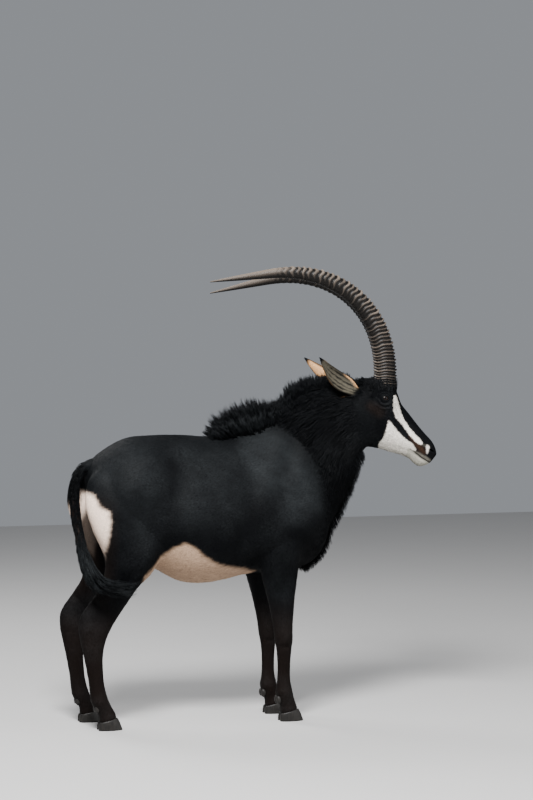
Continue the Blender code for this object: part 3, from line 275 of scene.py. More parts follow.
# Folds that only the skin has: the tear line, the lips, the rim of the nostril, the jaw and the temple.
HEAD_FOLDS = (
    Swelling(0.966, 1.440, 0.026, 0.0065, -62, -0.0030),
    Swelling(1.130, 1.250, 0.014, 0.0050, 35, 0.0028),
    Swelling(1.122, 1.224, 0.014, 0.0050, 40, 0.0022),
    Swelling(1.095, 1.206, 0.040, 0.0070, -38, 0.0026),
    Swelling(1.078, 1.188, 0.040, 0.0070, -36, 0.0022),
    Swelling(0.985, 1.242, 0.050, 0.0080, -18, -0.0020),
    Swelling(0.872, 1.470, 0.026, 0.0180, 10, -0.0030),
    Swelling(0.935, 1.330, 0.060, 0.0090, 78, 0.0022),
)
# Creases that run along a line: its places seen from the side, its half width, and its height.
Crease = namedtuple("Crease", "line half_width height")
BROW_CREASES = (
    Crease(
        ((0.856, 1.488), (0.868, 1.514), (0.886, 1.530), (0.905, 1.537), (0.937, 1.526), (0.949, 1.506)),
        0.0055, 0.0068,
    ),
    Crease(((0.874, 1.486), (0.882, 1.504), (0.900, 1.517), (0.922, 1.518), (0.940, 1.507)), 0.004, -0.004),
    Crease(((0.884, 1.489), (0.892, 1.500), (0.908, 1.507), (0.930, 1.504), (0.943, 1.492)), 0.0042, 0.004),
    Crease(
        ((0.884, 1.470), (0.893, 1.455), (0.910, 1.447), (0.930, 1.449), (0.946, 1.460)), 0.0042, 0.0038
    ),
    Crease(((0.876, 1.462), (0.888, 1.445), (0.910, 1.437), (0.934, 1.440)), 0.0040, -0.0028),
    Crease(((0.874, 1.448), (0.890, 1.434), (0.912, 1.427), (0.936, 1.432)), 0.0040, 0.0026),
)

# Tendons, joints and hollows of the legs that only the skin has, on both sides of each leg.
LEG_FOLDS = {
    "fore": (
        Swelling(0.412, 0.400, 0.040, 0.030, 85, 0.0050),
        Swelling(0.418, 0.345, 0.010, 0.040, 90, -0.0030),
        Swelling(0.397, 0.250, 0.075, 0.0065, 90, -0.0040),
        Swelling(0.417, 0.130, 0.026, 0.022, 100, 0.0040),
        Swelling(0.384, 0.135, 0.012, 0.014, 60, 0.0030),
        Swelling(0.395, 0.610, 0.085, 0.011, 84, -0.0045),
        Swelling(0.440, 0.600, 0.090, 0.016, 84, 0.0040),
        Swelling(0.350, 0.640, 0.080, 0.016, 70, 0.0035),
    ),
    "hind": (
        Swelling(-0.480, 0.450, 0.040, 0.026, -55, 0.0050),
        Swelling(-0.528, 0.450, 0.030, 0.014, 80, 0.0035),
        Swelling(-0.462, 0.555, 0.070, 0.011, -50, -0.0065),
        Swelling(-0.500, 0.300, 0.085, 0.0070, 91, -0.0042),
        Swelling(-0.462, 0.128, 0.026, 0.022, 75, 0.0040),
        Swelling(-0.492, 0.130, 0.012, 0.014, 60, 0.0030),
        Swelling(-0.330, 0.690, 0.090, 0.020, 50, -0.0050),
        Swelling(-0.270, 0.760, 0.110, 0.030, 60, 0.0050),
    ),
}

# The tail: its line, and its radii at even steps along it.
TAIL_LINE = (
    (-0.420, 0.0, 1.200), (-0.474, 0.0, 1.186), (-0.513, -0.002, 1.148), (-0.536, -0.008, 1.090),
    (-0.539, -0.018, 1.020), (-0.535, -0.035, 0.950), (-0.528, -0.065, 0.880), (-0.522, -0.105, 0.815),
    (-0.512, -0.150, 0.760), (-0.492, -0.190, 0.710), (-0.450, -0.214, 0.672), (-0.405, -0.222, 0.648),
)
TAIL_RADII = (0.026, 0.025, 0.023, 0.022, 0.020, 0.019, 0.018, 0.019, 0.020, 0.018, 0.012, 0.004)
TUFT_START = 0.60

# The mouth's line from its corner to the front, with the muzzle's half width there; the nostrils.
MOUTH_LINE = (
    (1.033, 1.243, 0.044), (1.063, 1.221, 0.041), (1.096, 1.196, 0.036), (1.122, 1.180, 0.024),
    (1.160, 1.168, 0.006),
)
MOUTH_DEPTH = 0.006
MOUTH_OPEN = 0.0026
NOSTRIL = (0.0135, 0.011, 0.0055)
NOSTRIL_SLANT = 40
NOSTRIL_CENTRE = (1.131, 0.030, 1.236)

# Markings, as outlines and lines seen from the side; those of the head before the head's turn.
BELLY_PATCH = (
    (-0.260, 0.560), (-0.250, 0.695), (-0.228, 0.716), (-0.169, 0.780), (-0.119, 0.820), (-0.075, 0.840),
    (-0.027, 0.819), (0.015, 0.782), (0.066, 0.748), (0.134, 0.726), (0.219, 0.710), (0.285, 0.690),
    (0.262, 0.668), (0.205, 0.655), (0.190, 0.560),
)
RUMP_PATCH = (
    (-0.560, 1.077), (-0.511, 1.076), (-0.476, 1.058), (-0.459, 1.012), (-0.418, 0.988), (-0.412, 0.942),
    (-0.418, 0.885), (-0.431, 0.805), (-0.433, 0.765), (-0.459, 0.800), (-0.494, 0.860), (-0.560, 0.900),
)
# Where a grey sheen is painted onto the short black coat, where it shines in the light, and each outline's
# softness and share of the painted sheen.
SHOULDER_SHEEN = (
    (0.310, 1.350), (0.390, 1.340), (0.470, 1.270), (0.535, 1.160), (0.570, 1.050), (0.575, 0.970),
    (0.520, 0.975), (0.450, 0.930), (0.400, 0.930), (0.385, 1.050), (0.280, 1.060), (0.225, 1.150),
    (0.205, 1.250), (0.260, 1.320),
)
FLANK_SHEEN = (
    (-0.090, 1.290), (0.150, 1.290), (0.220, 1.220), (0.260, 1.080), (0.150, 0.980), (0.000, 0.900),
    (-0.090, 0.920), (-0.105, 1.040), (-0.070, 1.160),
)
HAUNCH_SHEEN = (
    (-0.490, 1.160), (-0.430, 1.260), (-0.270, 1.300), (-0.190, 1.270), (-0.160, 1.170), (-0.180, 1.020),
    (-0.250, 0.880), (-0.310, 0.860), (-0.370, 1.000), (-0.450, 1.070),
)
SHEENS = ((SHOULDER_SHEEN, 0.065, 1.0), (FLANK_SHEEN, 0.070, 0.42), (HAUNCH_SHEEN, 0.070, 0.50))
CHEEK_PATCH = (
    (0.930, 1.376), (0.923, 1.348), (0.917, 1.316), (0.905, 1.290), (0.889, 1.270), (0.886, 1.215),
    (0.985, 1.190), (1.025, 1.170), (1.033, 1.212), (1.025, 1.244), (1.049, 1.230), (1.059, 1.238),
    (1.053, 1.252), (1.041, 1.268), (1.025, 1.278), (1.005, 1.290), (0.986, 1.312), (0.970, 1.331),
    (0.954, 1.351), (0.940, 1.369),
)
CHIN_PATCH = (
    (1.018, 1.240), (1.031, 1.243), (1.062, 1.216), (1.095, 1.192), (1.122, 1.178), (1.160, 1.165),
    (1.110, 1.140), (1.040, 1.140), (1.010, 1.180),
)
LIP_LINE = ((1.048, 1.236, 0.003), (1.072, 1.219, 0.007), (1.098, 1.202, 0.009), (1.122, 1.188, 0.007))
FACE_STRIPE = (
    (0.959, 1.487, 0.004), (0.962, 1.475, 0.0085), (0.965, 1.451, 0.0125), (0.968, 1.427, 0.0150),
    (0.974, 1.403, 0.0145), (0.986, 1.383, 0.0125), (1.001, 1.363, 0.0100), (1.014, 1.343, 0.0100),
    (1.030, 1.323, 0.0105), (1.046, 1.304, 0.0108), (1.065, 1.284, 0.0100), (1.080, 1.270, 0.0075),
)
NOSE_SPOT = ((1.113, 1.253, 0.0075), (1.112, 1.240, 0.0065), (1.110, 1.224, 0.0030))
NOSE_BRIDGE = ((1.085, 1.264, 0.004), (1.106, 1.254, 0.005))
MUZZLE_BROWN = ((1.030, 1.300, 0.004), (1.055, 1.272, 0.008), (1.080, 1.245, 0.012), (1.095, 1.225, 0.008))
CHEEK_BROWN = ((0.850, 1.440, 0.020), (0.890, 1.415, 0.022))
BLAZE_HALF = (0.016, 0.026)
# The hind edge of the left rump patch, and how far from the middle the painted shade between the thighs
# reaches, by height.
RUMP_EDGE = ((0.94, 1.02, 1.08), (-0.550, -0.536, -0.500))
INNER_THIGH_SHADE = ((0.78, 1.03), (0.135, 0.025))
# How strongly a colour is laid over the one below it.
LEG_BROWN, REAR_BROWN, CHEEK_BROWN_SHARE, MUZZLE_BROWN_SHARE = 0.12, 0.28, 0.12, 0.6
# The first share on the next line greys the cheek's lower part as painted shade.
CHEEK_PAINTED_SHADE, STRIPE_GREY, BRIDGE_GREY, SPOT_WHITE = 0.75, 0.6, 0.4, 0.75

# The stage: half the floor's side, what the camera aims at, and the light of the sky.
FLOOR_HALF = 9
CAMERA_AIM = (0.366, 0, 1.47)
SENSOR_WIDTH = 36
SKY_COLOUR = (0.80, 0.84, 0.90, 1)
RIM_SHARE = 0.22

# The lie of the short coat seen from the side: a place and the way the hair points, in degrees.
LIE = (
    (-0.46, 1.16, 235), (-0.46, 1.02, 255), (-0.30, 1.24, 192), (-0.34, 1.06, 235), (-0.30, 0.88, 235),
    (-0.36, 0.70, 250), (-0.12, 1.22, 183), (-0.14, 1.00, 198), (-0.16, 0.80, 215), (0.05, 1.24, 182),
    (0.05, 1.00, 188), (0.05, 0.76, 185), (0.24, 1.24, 190), (0.24, 1.00, 200), (0.24, 0.78, 205),
    (0.40, 1.24, 215), (0.42, 1.04, 235), (0.42, 0.84, 255), (0.55, 1.02, 250), (0.60, 0.84, 245),
    (0.54, 1.30, 222), (0.66, 1.18, 245), (0.66, 1.38, 222), (0.76, 1.44, 205), (0.78, 1.28, 225),
    (0.86, 1.52, 160), (0.88, 1.42, 175), (0.88, 1.30, 195), (0.96, 1.48, 125), (0.96, 1.36, 135),
    (0.98, 1.24, 160), (1.06, 1.30, 130), (1.10, 1.22, 140),
)
LIE_REACH = 0.075
SHANK_TOP = 0.58


def spread(rows, steps):
    """Rows read at more places by the curve that passes through each row in turn, of the third degree."""
    rows = np.asarray(rows, float)
    padded = np.vstack([2 * rows[0] - rows[1], rows, 2 * rows[-1] - rows[-2]])
    at = np.linspace(0, len(rows) - 1, (len(rows) - 1) * steps + 1)
    cell = np.minimum(at.astype(int), len(rows) - 2)
    t = (at - cell)[:, None]
    a, b, c, d = (padded[cell + k] for k in range(4))
    return 0.5 * (2 * b + (c - a) * t + (2 * a - 5 * b + 4 * c - d) * t**2 + (3 * b - a - 3 * c + d) * t**3)


def turned(points, share):
    """Points swung about the neck's pivot by their share of the head's turn, a rotation about Z."""
    share = np.asarray(share, float)
    angle = HEAD_YAW * share
    x = points[..., 0] - NECK_PIVOT_X + HEAD_REACH * share
    y = points[..., 1]
    cosine, sine = np.cos(angle), np.sin(angle)
    return np.stack((NECK_PIVOT_X + x * cosine - y * sine, x * sine + y * cosine, points[..., 2]), -1)


def unturned(points, share):
    """The points as they would be before their share of the head's turn, the rotation taken back."""
    share = np.asarray(share, float)
    angle = -HEAD_YAW * share
    x = points[..., 0] - NECK_PIVOT_X
    y = points[..., 1]
    cosine, sine = np.cos(angle), np.sin(angle)
    back_x = NECK_PIVOT_X + x * cosine - y * sine - HEAD_REACH * share
    return np.stack((back_x, x * sine + y * cosine, points[..., 2]), -1)


def turn_share(points):
    """The share of the head's turn at each place: read from a table by the distance along the neck."""
    place = points[:, 0] * TURN_WAY[0] + points[:, 2] * TURN_WAY[1]
    return np.where(points[:, 0] > 0.30, np.interp(place, TURN_PLACES, TURN_SHARES), 0.0)


def unit(vectors):
    """Vectors divided by their length."""
    vectors = np.asarray(vectors, float)
    return vectors / np.maximum(np.linalg.norm(vectors, axis=-1, keepdims=True), NOTHING)


def full_turn(count):
    """Angles at even steps round a full circle."""
    return np.linspace(0, 2 * np.pi, count, endpoint=False)


def smoothstep(values, low, high):
    """0 below low, 1 above high, and between them three times the square less twice the cube."""
    share = np.clip((values - low) / (high - low), 0, 1)
    return share * share * (3 - 2 * share)


def rings_of(girths, around, steps, mirror=1.0, shift=0.0):
    """Rings on a grid of place along and angle: squared ellipses between the two points of each girth."""
    rows = spread(girths, steps)
    angle = full_turn(around)
    top_x, top_z, low_x, low_z, half, widest, top_power, low_power, side, turn = (
        rows[:, k][:, None] for k in range(10)
    )
    height, breadth = np.cos(angle)[None, :], np.sin(angle)[None, :]
    power = np.where(height > 0, top_power, low_power)
    reach = np.abs(height) ** (2 / power)
    down = np.where(height > 0, widest * (1 - reach), widest + (1 - widest) * reach)
    across = np.sign(breadth) * np.abs(breadth) ** (2 / power) * half + side * mirror
    along, rise = top_x + (low_x - top_x) * down + shift, top_z + (low_z - top_z) * down
    return turned(np.stack((along, across, rise), -1), turn)


def along_line(line, at):
    """Places at shares of a curved line, its way there from a small step on and back, two ways across."""
    fine = spread(line, 24)
    places = np.linspace(0, 1, len(fine))

    def read(where):
        return np.stack([np.interp(where, places, fine[:, k]) for k in range(3)], -1)

    way = unit(read(at + 0.02) - read(at - 0.02))
    side = unit(np.cross(way, (0.0, 1.0, 0.0)))
    return read(at), way, side, np.cross(side, way)


def circled(first, second, angle):
    """Ways round a circle at each station: the first times the cosine plus the second times the sine."""
    return first[:, None] * np.cos(angle)[None, :, None] + second[:, None] * np.sin(angle)[None, :, None]


def line_rings(stations, line, radii, around):
    """Round rings along a curved line: centre plus radius times a circle of its two ways across."""
    centre, _, side, across = along_line(line, stations)
    radius = np.interp(stations, np.linspace(0, 1, len(radii)), radii)
    ring = circled(side, across, full_turn(around))
    return centre[:, None] + ring * radius[:, None, None]


def tube_faces(rings, around):
    """Faces of a closed tube: quads between neighbouring rings and one flat face on each end."""
    index = np.arange(rings * around).reshape(rings, around)
    following = np.roll(index, -1, axis=1)
    sides = np.stack((index[:-1], index[1:], following[1:], following[:-1]), -1).reshape(-1, 4)
    return [*sides.tolist(), index[0].tolist(), index[-1][::-1].tolist()]


def placed(name, data):
    """An object of a mesh, a lamp or a camera, set in the scene."""
    made = bpy.data.objects.new(name, data)
    bpy.context.scene.collection.objects.link(made)
    return made


def new_object(name, points, faces):
    """A mesh object with its faces pointing outwards."""
    mesh = bpy.data.meshes.new(name)
    mesh.from_pydata(np.asarray(points, float).reshape(-1, 3).tolist(), [], faces)
    work = bmesh.new()
    work.from_mesh(mesh)
    bmesh.ops.recalc_face_normals(work, faces=work.faces)
    work.to_mesh(mesh)
    work.free()
    return placed(name, mesh)


def tube(name, rings):
    """A closed tube through rings of points."""
    return new_object(name, rings, tube_faces(*rings.shape[:2]))


def ball(name, centre, radii, around=48, rows=24):
    """A ball on a grid of two angles: radius times sine and cosine, with small flat faces at its poles."""
    down = np.linspace(0.04, np.pi - 0.04, rows)[:, None]
    angle = full_turn(around)[None, :]
    wide = np.sin(down)
    shape = np.stack((wide * np.cos(angle), wide * np.sin(angle), np.cos(down) + 0 * angle), -1)
    return tube(name, shape * np.asarray(radii, float) + np.asarray(centre, float))


def flatten(obj):
    """Puts the object's modifiers into its mesh."""
    graph = bpy.context.evaluated_depsgraph_get()
    mesh = bpy.data.meshes.new_from_object(obj.evaluated_get(graph))
    obj.modifiers.clear()
    old = obj.data
    obj.data = mesh
    bpy.data.meshes.remove(old)
    return obj


def joined(name, objects):
    """One object that holds the meshes of several, which are removed."""
    work = bmesh.new()
    for obj in objects:
        work.from_mesh(obj.data)
    mesh = bpy.data.meshes.new(name)
    work.to_mesh(mesh)
    work.free()
    for obj in objects:
        bpy.data.objects.remove(obj)
    return placed(name, mesh)


def boolean(obj, others, operation):
    """Cuts the others from the object, or joins them to it, and removes them."""
    group = bpy.data.collections.new("cutters")
    bpy.context.scene.collection.children.link(group)
    for other in others:
        group.objects.link(other)
    change = obj.modifiers.new(operation, "BOOLEAN")
    change.operation = operation
    change.operand_type = "COLLECTION"
    change.collection = group
    change.solver = "MANIFOLD"
    flatten(obj)
    for other in others:
        bpy.data.objects.remove(other)
    bpy.data.collections.remove(group)
    return obj


def array_of(items, what, width=3, kind=float):
    """One property of all vertices or faces as an array."""
    values = np.empty(len(items) * width, kind)
    items.foreach_get(what, values)
    return values.reshape(-1, width) if width > 1 else values


def surface(obj):
    """The places and the normals of a mesh's vertices."""
    return array_of(obj.data.vertices, "co"), array_of(obj.data.vertices, "normal")


def move_points(obj, points):
    """Puts the mesh's vertices at new places."""
    obj.data.vertices.foreach_set("co", np.ascontiguousarray(points, np.float32).ravel())
    obj.data.update()


def mounds(places, swellings):
    """How high smooth mounds rise at each place: height times e to the minus squared distance."""
    rise = np.zeros(len(places))
    for mound in swellings:
        slant = math.radians(mound.slant)
        x, z = places[:, 0] - mound.x, places[:, 2] - mound.z
        along = (x * math.cos(slant) + z * math.sin(slant)) / mound.long_radius
        across = (z * math.cos(slant) - x * math.sin(slant)) / mound.short_radius
        rise += mound.height * np.exp(-(along**2) - across**2)
    return rise


def swell(obj, swellings, share=0.0):
    """Raises the flesh along its normals by mounds, by the share of the normal that points sideways."""
    points, normals = surface(obj)
    rise = mounds(unturned(points, share), swellings) * np.abs(normals[:, 1])
    move_points(obj, points + normals * rise[:, None])


def swell_legs(obj):
    """Raises and sinks the skin of each leg by its own mounds, moved with that leg's stance."""
    points, normals = surface(obj)
    rise = np.zeros(len(points))
    for side, sign in SIDES:
        for kind, end in (("fore", 1), ("hind", -1)):
            here = (points[:, 1] * sign > 0) & (points[:, 0] * end > 0)
            stance = np.array((STANCE[f"{kind}_{side}"], 0.0, 0.0))
            rise += 1.5 * mounds(points - stance, LEG_FOLDS[kind]) * here
    share = np.clip(np.abs(normals[:, 1]) * 1.3, 0, 1)
    move_points(obj, points + normals * (rise * share)[:, None])


def to_stretches(places, start, side):
    """For each place and straight stretch: how far along it the nearest point lies, and how far off."""
    offset = places[:, None] - start[None]
    share = np.clip((offset * side).sum(-1) / (side * side).sum(-1), 0, 1)
    return share, np.linalg.norm(offset - share[..., None] * side, axis=-1)


def distance(points, place):
    """How far each point is from one place."""
    return np.linalg.norm(points - place, axis=1)


def mirrored(place, sign):
    """A place or a way given for the left side, on the side of the sign."""
    return np.array(place) * (1, sign, 1)


def crease(obj, creases):
    """Raises or sinks the head along lines: height times e to the minus squared share of half width."""
    points, normals = surface(obj)
    straight = unturned(points, 1.0)[:, [0, 2]]
    rise = np.zeros(len(points))
    for one in creases:
        line = np.array(one.line)
        away = to_stretches(straight, line[:-1], np.diff(line, axis=0))[1].min(1)
        rise += one.height * np.exp(-((away / one.half_width) ** 2))
    move_points(obj, points + normals * (rise * np.abs(normals[:, 1]))[:, None])


def sink(obj, depth):
    """Draws the skin in along its normals, by less on the shanks than on the body."""
    points, normals = surface(obj)
    share = smoothstep(points[:, 2], 0.42, 0.66)
    inward = SHANK_DEPTH + (depth - SHANK_DEPTH) * share
    move_points(obj, points - normals * inward[:, None])


def fused(name, objects, voxel, smoothing):
    """Several closed tubes made one skin, with the creases between them smoothed away."""
    body = joined(name, objects)
    remesh = body.modifiers.new("one skin", "REMESH")
    remesh.mode = "VOXEL"
    remesh.voxel_size = voxel
    smooth = body.modifiers.new("soften", "SMOOTH")
    smooth.factor = 0.5
    smooth.iterations = smoothing
    return flatten(body)


def soften(obj, weights, rounds):
    """Smooths the mesh where the weights say."""
    group = obj.vertex_groups.new(name="soften")
    for level in (0.25, 0.5, 0.75, 1.0):
        chosen = np.flatnonzero(np.abs(weights - level) <= 0.125)
        group.add(chosen.tolist(), level, "REPLACE")
    smooth = obj.modifiers.new("soften", "SMOOTH")
    smooth.factor = 0.5
    smooth.iterations = rounds
    smooth.vertex_group = group.name
    flatten(obj)
    obj.vertex_groups.clear()


def cut(obj, point, normal):
    """Takes away what lies on the side the normal points to, and closes the flesh with a flat face."""
    work = bmesh.new()
    work.from_mesh(obj.data)
    everything = [*work.verts, *work.edges, *work.faces]
    bmesh.ops.bisect_plane(
        work, geom=everything, dist=1e-6, plane_co=point, plane_no=normal, clear_outer=True
    )
    bmesh.ops.holes_fill(work, edges=[edge for edge in work.edges if edge.is_boundary], sides=0)
    bmesh.ops.triangulate(work, faces=[face for face in work.faces if len(face.verts) > 4])
    work.to_mesh(obj.data)
    work.free()
    return obj


def head_plane():
    """The plane that parts head and neck: a point of it and its normal, which points to the head."""
    (x, z), (low_x, low_z) = HEAD_LINE
    start = turned(np.array([x, 0.0, z]), 1.0)
    along_x, along_z = low_x - x, low_z - z
    normal = np.array((-along_z * math.cos(HEAD_YAW), -along_z * math.sin(HEAD_YAW), along_x))
    return start, unit(normal)


def eye_frame(sign):
    """The eyeball's centre and the way it looks, once the head has turned."""
    base = mirrored(EYE_CENTRE, sign)
    centre = turned(base, 1.0)
    looking = turned(base + unit((0.25, sign * 0.95, 0.06)), 1.0) - centre
    return centre, unit(looking)


def eye_axes(sign):
    """The centre, the way it looks, and the long and the short way of the almond between the lids."""
    centre, looking = eye_frame(sign)
    ahead = np.array((math.cos(HEAD_YAW), math.sin(HEAD_YAW), 0.0))
    ahead = unit(ahead - looking * (ahead @ looking))
    upward = np.cross(looking, ahead) * -sign
    slant = math.radians(LID_SLANT)
    long_way = ahead * math.cos(slant) - upward * math.sin(slant)
    return centre, looking, long_way, np.cross(looking, long_way)


def almond(sign, count, reach, grow=1.0):
    """The lids' outline: an ellipse whose height falls towards its corners, as ways from the centre."""
    centre, looking, long_way, short_way = eye_axes(sign)
    angle = full_turn(count)
    wide = np.cos(angle)
    tall = np.sin(angle) * (1 - 0.35 * np.abs(wide) ** 1.5)
    out = looking + long_way * (wide * EYE_WIDE * grow)[:, None]
    out = (out + short_way * (tall * EYE_TALL * grow)[:, None]) * 0.060
    return centre + unit(out) * reach, out, centre


def eye_opening(sign):
    """A cone with an almond outline, from near the eyeball's centre outwards, that opens the lids."""
    _, out, centre = almond(sign, 48, 1.0)
    looking = eye_frame(sign)[1]
    points = np.vstack([centre + out, centre + looking * 0.004])
    count = len(out)
    faces = [[k, (k + 1) % count, count] for k in range(count)] + [list(range(count))[::-1]]
    return new_object("eye opening", points, faces)


def lid_rim(sign):
    """The swollen edge of the lids: a thin round tube carried along the almond on the eyeball."""
    line, _, centre = almond(sign, 72, EYE_RADIUS + 0.0021, 1.04)
    way = unit(np.roll(line, -1, axis=0) - np.roll(line, 1, axis=0))
    out = unit(line - centre)
    across = np.cross(way, out)
    angle = full_turn(10)
    rings = line[:, None] + LID_RIM * circled(out, across, angle)
    index = np.arange(rings.shape[0] * len(angle)).reshape(-1, len(angle))
    ahead, beside = np.roll(index, -1, axis=0), np.roll(index, -1, axis=1)
    faces = np.stack((index, ahead, np.roll(ahead, -1, axis=1), beside), -1).reshape(-1, 4)
    return new_object("lid rim", rings, faces.tolist())


def mouth_cutters():
    """Two thin blades that follow the line of the mouth along both sides and round the front."""
    blades = []
    for sign in (-1, 1):
        rings = []
        for x, z, half in spread(MOUTH_LINE, 8):
            inner, outer = max(half - MOUTH_DEPTH, 0.0), half + 0.02
            corners = ((inner, 1), (outer, 1), (outer, -1), (inner, -1))
            rings.append([(x, sign * (y - 0.001), z + MOUTH_OPEN / 2 * up) for y, up in corners])
        blades.append(tube("mouth", turned(np.array(rings), 1.0)))
    return blades


def nostril_cutter(sign):
    """A slanted drop-shaped hole: a ball whose front end is wider, turned about Y."""
    made = ball("nostril", (0, 0, 0), (1, 1, 1), 28, 16)
    points = array_of(made.data.vertices, "co")
    points[:, 2] *= 0.7 + 0.45 * points[:, 0]
    points = points * np.array(NOSTRIL)
    slant = math.radians(NOSTRIL_SLANT)
    x = points[:, 0] * math.cos(slant) + points[:, 2] * math.sin(slant)
    z = points[:, 2] * math.cos(slant) - points[:, 0] * math.sin(slant)
    points = np.stack((x, points[:, 1], z), -1) + mirrored(NOSTRIL_CENTRE, sign)
    move_points(made, turned(points, 1.0))
    return made


def ear_axes(side, sign):
    """An ear's base and length, its ways to the tip, out of the mouth and across, and how it bows."""
    base, tip = mirrored(EAR_BASE, sign), mirrored(EAR_TIP[side], sign)
    axis = unit(tip - base)
    mouth = unit(mirrored(EAR_FACING, sign))
    mouth = unit(mouth - axis * (mouth @ axis))
    bow = np.array(EAR_SAG) - mouth * EAR_CURL
    return base, np.linalg.norm(tip - base), axis, mouth, np.cross(axis, mouth), bow


def ear_rings(side, sign, stations, count):
    """Rings of an ear: the outer arc of the cup and back along its inner arc, on a tapering width."""
    base, length, axis, mouth, across, bow = ear_axes(side, sign)
    at = np.asarray(stations)[:, None]
    reach = np.clip(at, 0.0, 1.0)
    half, depth, wall = (
        np.interp(reach, EAR_STATIONS, table) for table in (EAR_HALF_WIDTHS, EAR_DEPTHS, EAR_WALLS)
    )
    v = np.linspace(-1, 1, count)[None, :]
    back = v[:, ::-1]
    centre = base + (axis * length * at + bow * np.sin(np.pi * reach))[:, None]
    inset = np.clip(half - wall, 0.3 * half, None)
    sideways = np.concatenate((half * np.sin(v * 1.45) / math.sin(1.45), inset * np.sin(back * 1.3)), 1)
    inner = 0.0006 - np.maximum(depth - wall, 0) * np.cos(back * 1.3)
    inward = np.concatenate((-depth * np.cos(v * 1.45), inner), 1)
    return turned(centre + across * sideways[..., None] + mouth * inward[..., None], 1.0)


def make_body():
    """The trunk, neck, crest and legs as one skin."""
    parts = [
        tube("trunk", rings_of(TRUNK, 64, 6)),
        tube("neck", rings_of(NECK, 56, 6)),
        tube("crest", rings_of(MANE_CORE, 20, 5)),
    ]
    for side, sign in SIDES:
        for kind, girths in (("fore", FORELEG), ("hind", HINDLEG)):
            parts.append(tube(kind, rings_of(girths, 40, 5, sign, STANCE[f"{kind}_{side}"])))
    body = fused("body skin", parts, BODY_VOXEL, 6)
    swell(body, BODY_SWELLINGS)
    swell_legs(body)
    sink(body, BODY_DEPTH)
    return body


def make_head():
    """The skull with its ears and lids as one skin, opened for the eyes, the nostrils and the mouth."""
    parts = [
        tube("skull", rings_of(HEAD, 72, 7)),
        tube("nape", rings_of(NECK[3:], 56, 6)),
        tube("crest", rings_of(MANE_CORE, 20, 5)),
    ]
    head = fused("head skin", parts, HEAD_VOXEL, 8)
    swell(head, HEAD_SWELLINGS, 1.0)
    swell(head, HEAD_FOLDS, 1.0)
    crease(head, BROW_CREASES)
    sink(head, HEAD_DEPTH)
    point, normal = head_plane()
    cut(head, point - normal * HEAD_OVERLAP, -normal)
    eyes = [eye_frame(sign)[0] for _, sign in SIDES]
    grown = [ball("lids", eye, (EYE_RADIUS + LID_THICKNESS,) * 3, 64, 32) for eye in eyes]
    for side, sign in SIDES:
        grown.append(tube("ear", ear_rings(side, sign, np.linspace(-0.16, 1.0, 48), 26)))
    boolean(head, grown, "UNION")
    soft = np.zeros(len(head.data.vertices))
    points = array_of(head.data.vertices, "co")
    for eye, (_, sign) in zip(eyes, SIDES):
        for centre, reach in ((eye, EYE_EASE), (turned(mirrored(EAR_BASE, sign), 1.0), EAR_EASE)):
            soft = np.maximum(soft, 1.2 - distance(points, centre) / reach)
    soften(head, np.clip(soft * 1.6, 0, 1), 4)
    points = array_of(head.data.vertices, "co")
    poll = np.linalg.norm((points - turned(np.array(POLL), 1.0)) * (1, 1, 1.4), axis=1)
    soften(head, np.clip(1.3 - poll / POLL_EASE, 0, 1), 40)
    for _, sign in SIDES:
        boolean(head, [eye_opening(sign)], "DIFFERENCE")
        boolean(head, [nostril_cutter(sign)], "DIFFERENCE")
    for blade in mouth_cutters():
        boolean(head, [blade], "DIFFERENCE")
    sockets = [ball("socket", eye, (EYE_RADIUS + SOCKET_GAP,) * 3, 64, 32) for eye in eyes]
    boolean(head, sockets, "DIFFERENCE")
    boolean(head, [lid_rim(sign) for _, sign in SIDES], "UNION")
    return head


def inside(places, outline, soft):
    """How far inside a closed outline each place lies: its signed distance to the nearest side, eased."""
    corners = np.asarray(outline, float)
    following = np.roll(corners, -1, axis=0)
    side = following - corners
    away = to_stretches(places, corners, side)[1].min(1)
    above = (corners[None, :, 1] > places[:, None, 1]) != (following[None, :, 1] > places[:, None, 1])
    rise = np.where(np.abs(side[:, 1]) < NOTHING, NOTHING, side[:, 1])
    crossing = corners[:, 0] + (places[:, 1:2] - corners[:, 1]) * side[:, 0] / rise
    within = (above & (places[:, :1] < crossing)).sum(1) % 2 == 1
    return smoothstep(np.where(within, away, -away), -soft, soft)


def near_line(places, line, soft):
    """How well each place lies within a line's own half width, which changes along it, softened."""
    line = np.asarray(line, float)
    start, side = line[:-1], np.diff(line, axis=0)
    share, away = to_stretches(places, start[:, :2], side[:, :2])
    over = (away - (start[:, 2] + share * side[:, 2])).min(1)
    return smoothstep(-over, -soft, soft)


def blend(colours, colour, weight):
    """Colours plus weight times what parts them from another colour."""
    return colours + (np.asarray(colour, float) - colours) * np.asarray(weight)[:, None]


def ripple(points, size):
    """A smooth uneven value from -1 to 1: three sines that run in different directions, multiplied."""
    x, y, z = (points[:, k] / size for k in range(3))
    return np.sin(x * 1.7 + y * 2.3) * np.sin(y * 1.3 - z * 2.1) * np.sin(z * 1.9 + x * 0.7)


def shining(points, flat):
    """How much painted sheen the black gets at each place: the greatest of the outlines' shares, made
    uneven.
    """
    shares = [inside(flat, outline, soft) * amount for outline, soft, amount in SHEENS]
    uneven = 1 + 0.30 * ripple(points, 0.034) + 0.20 * ripple(points[:, ::-1], 0.015)
    return np.max(shares, axis=0) * uneven


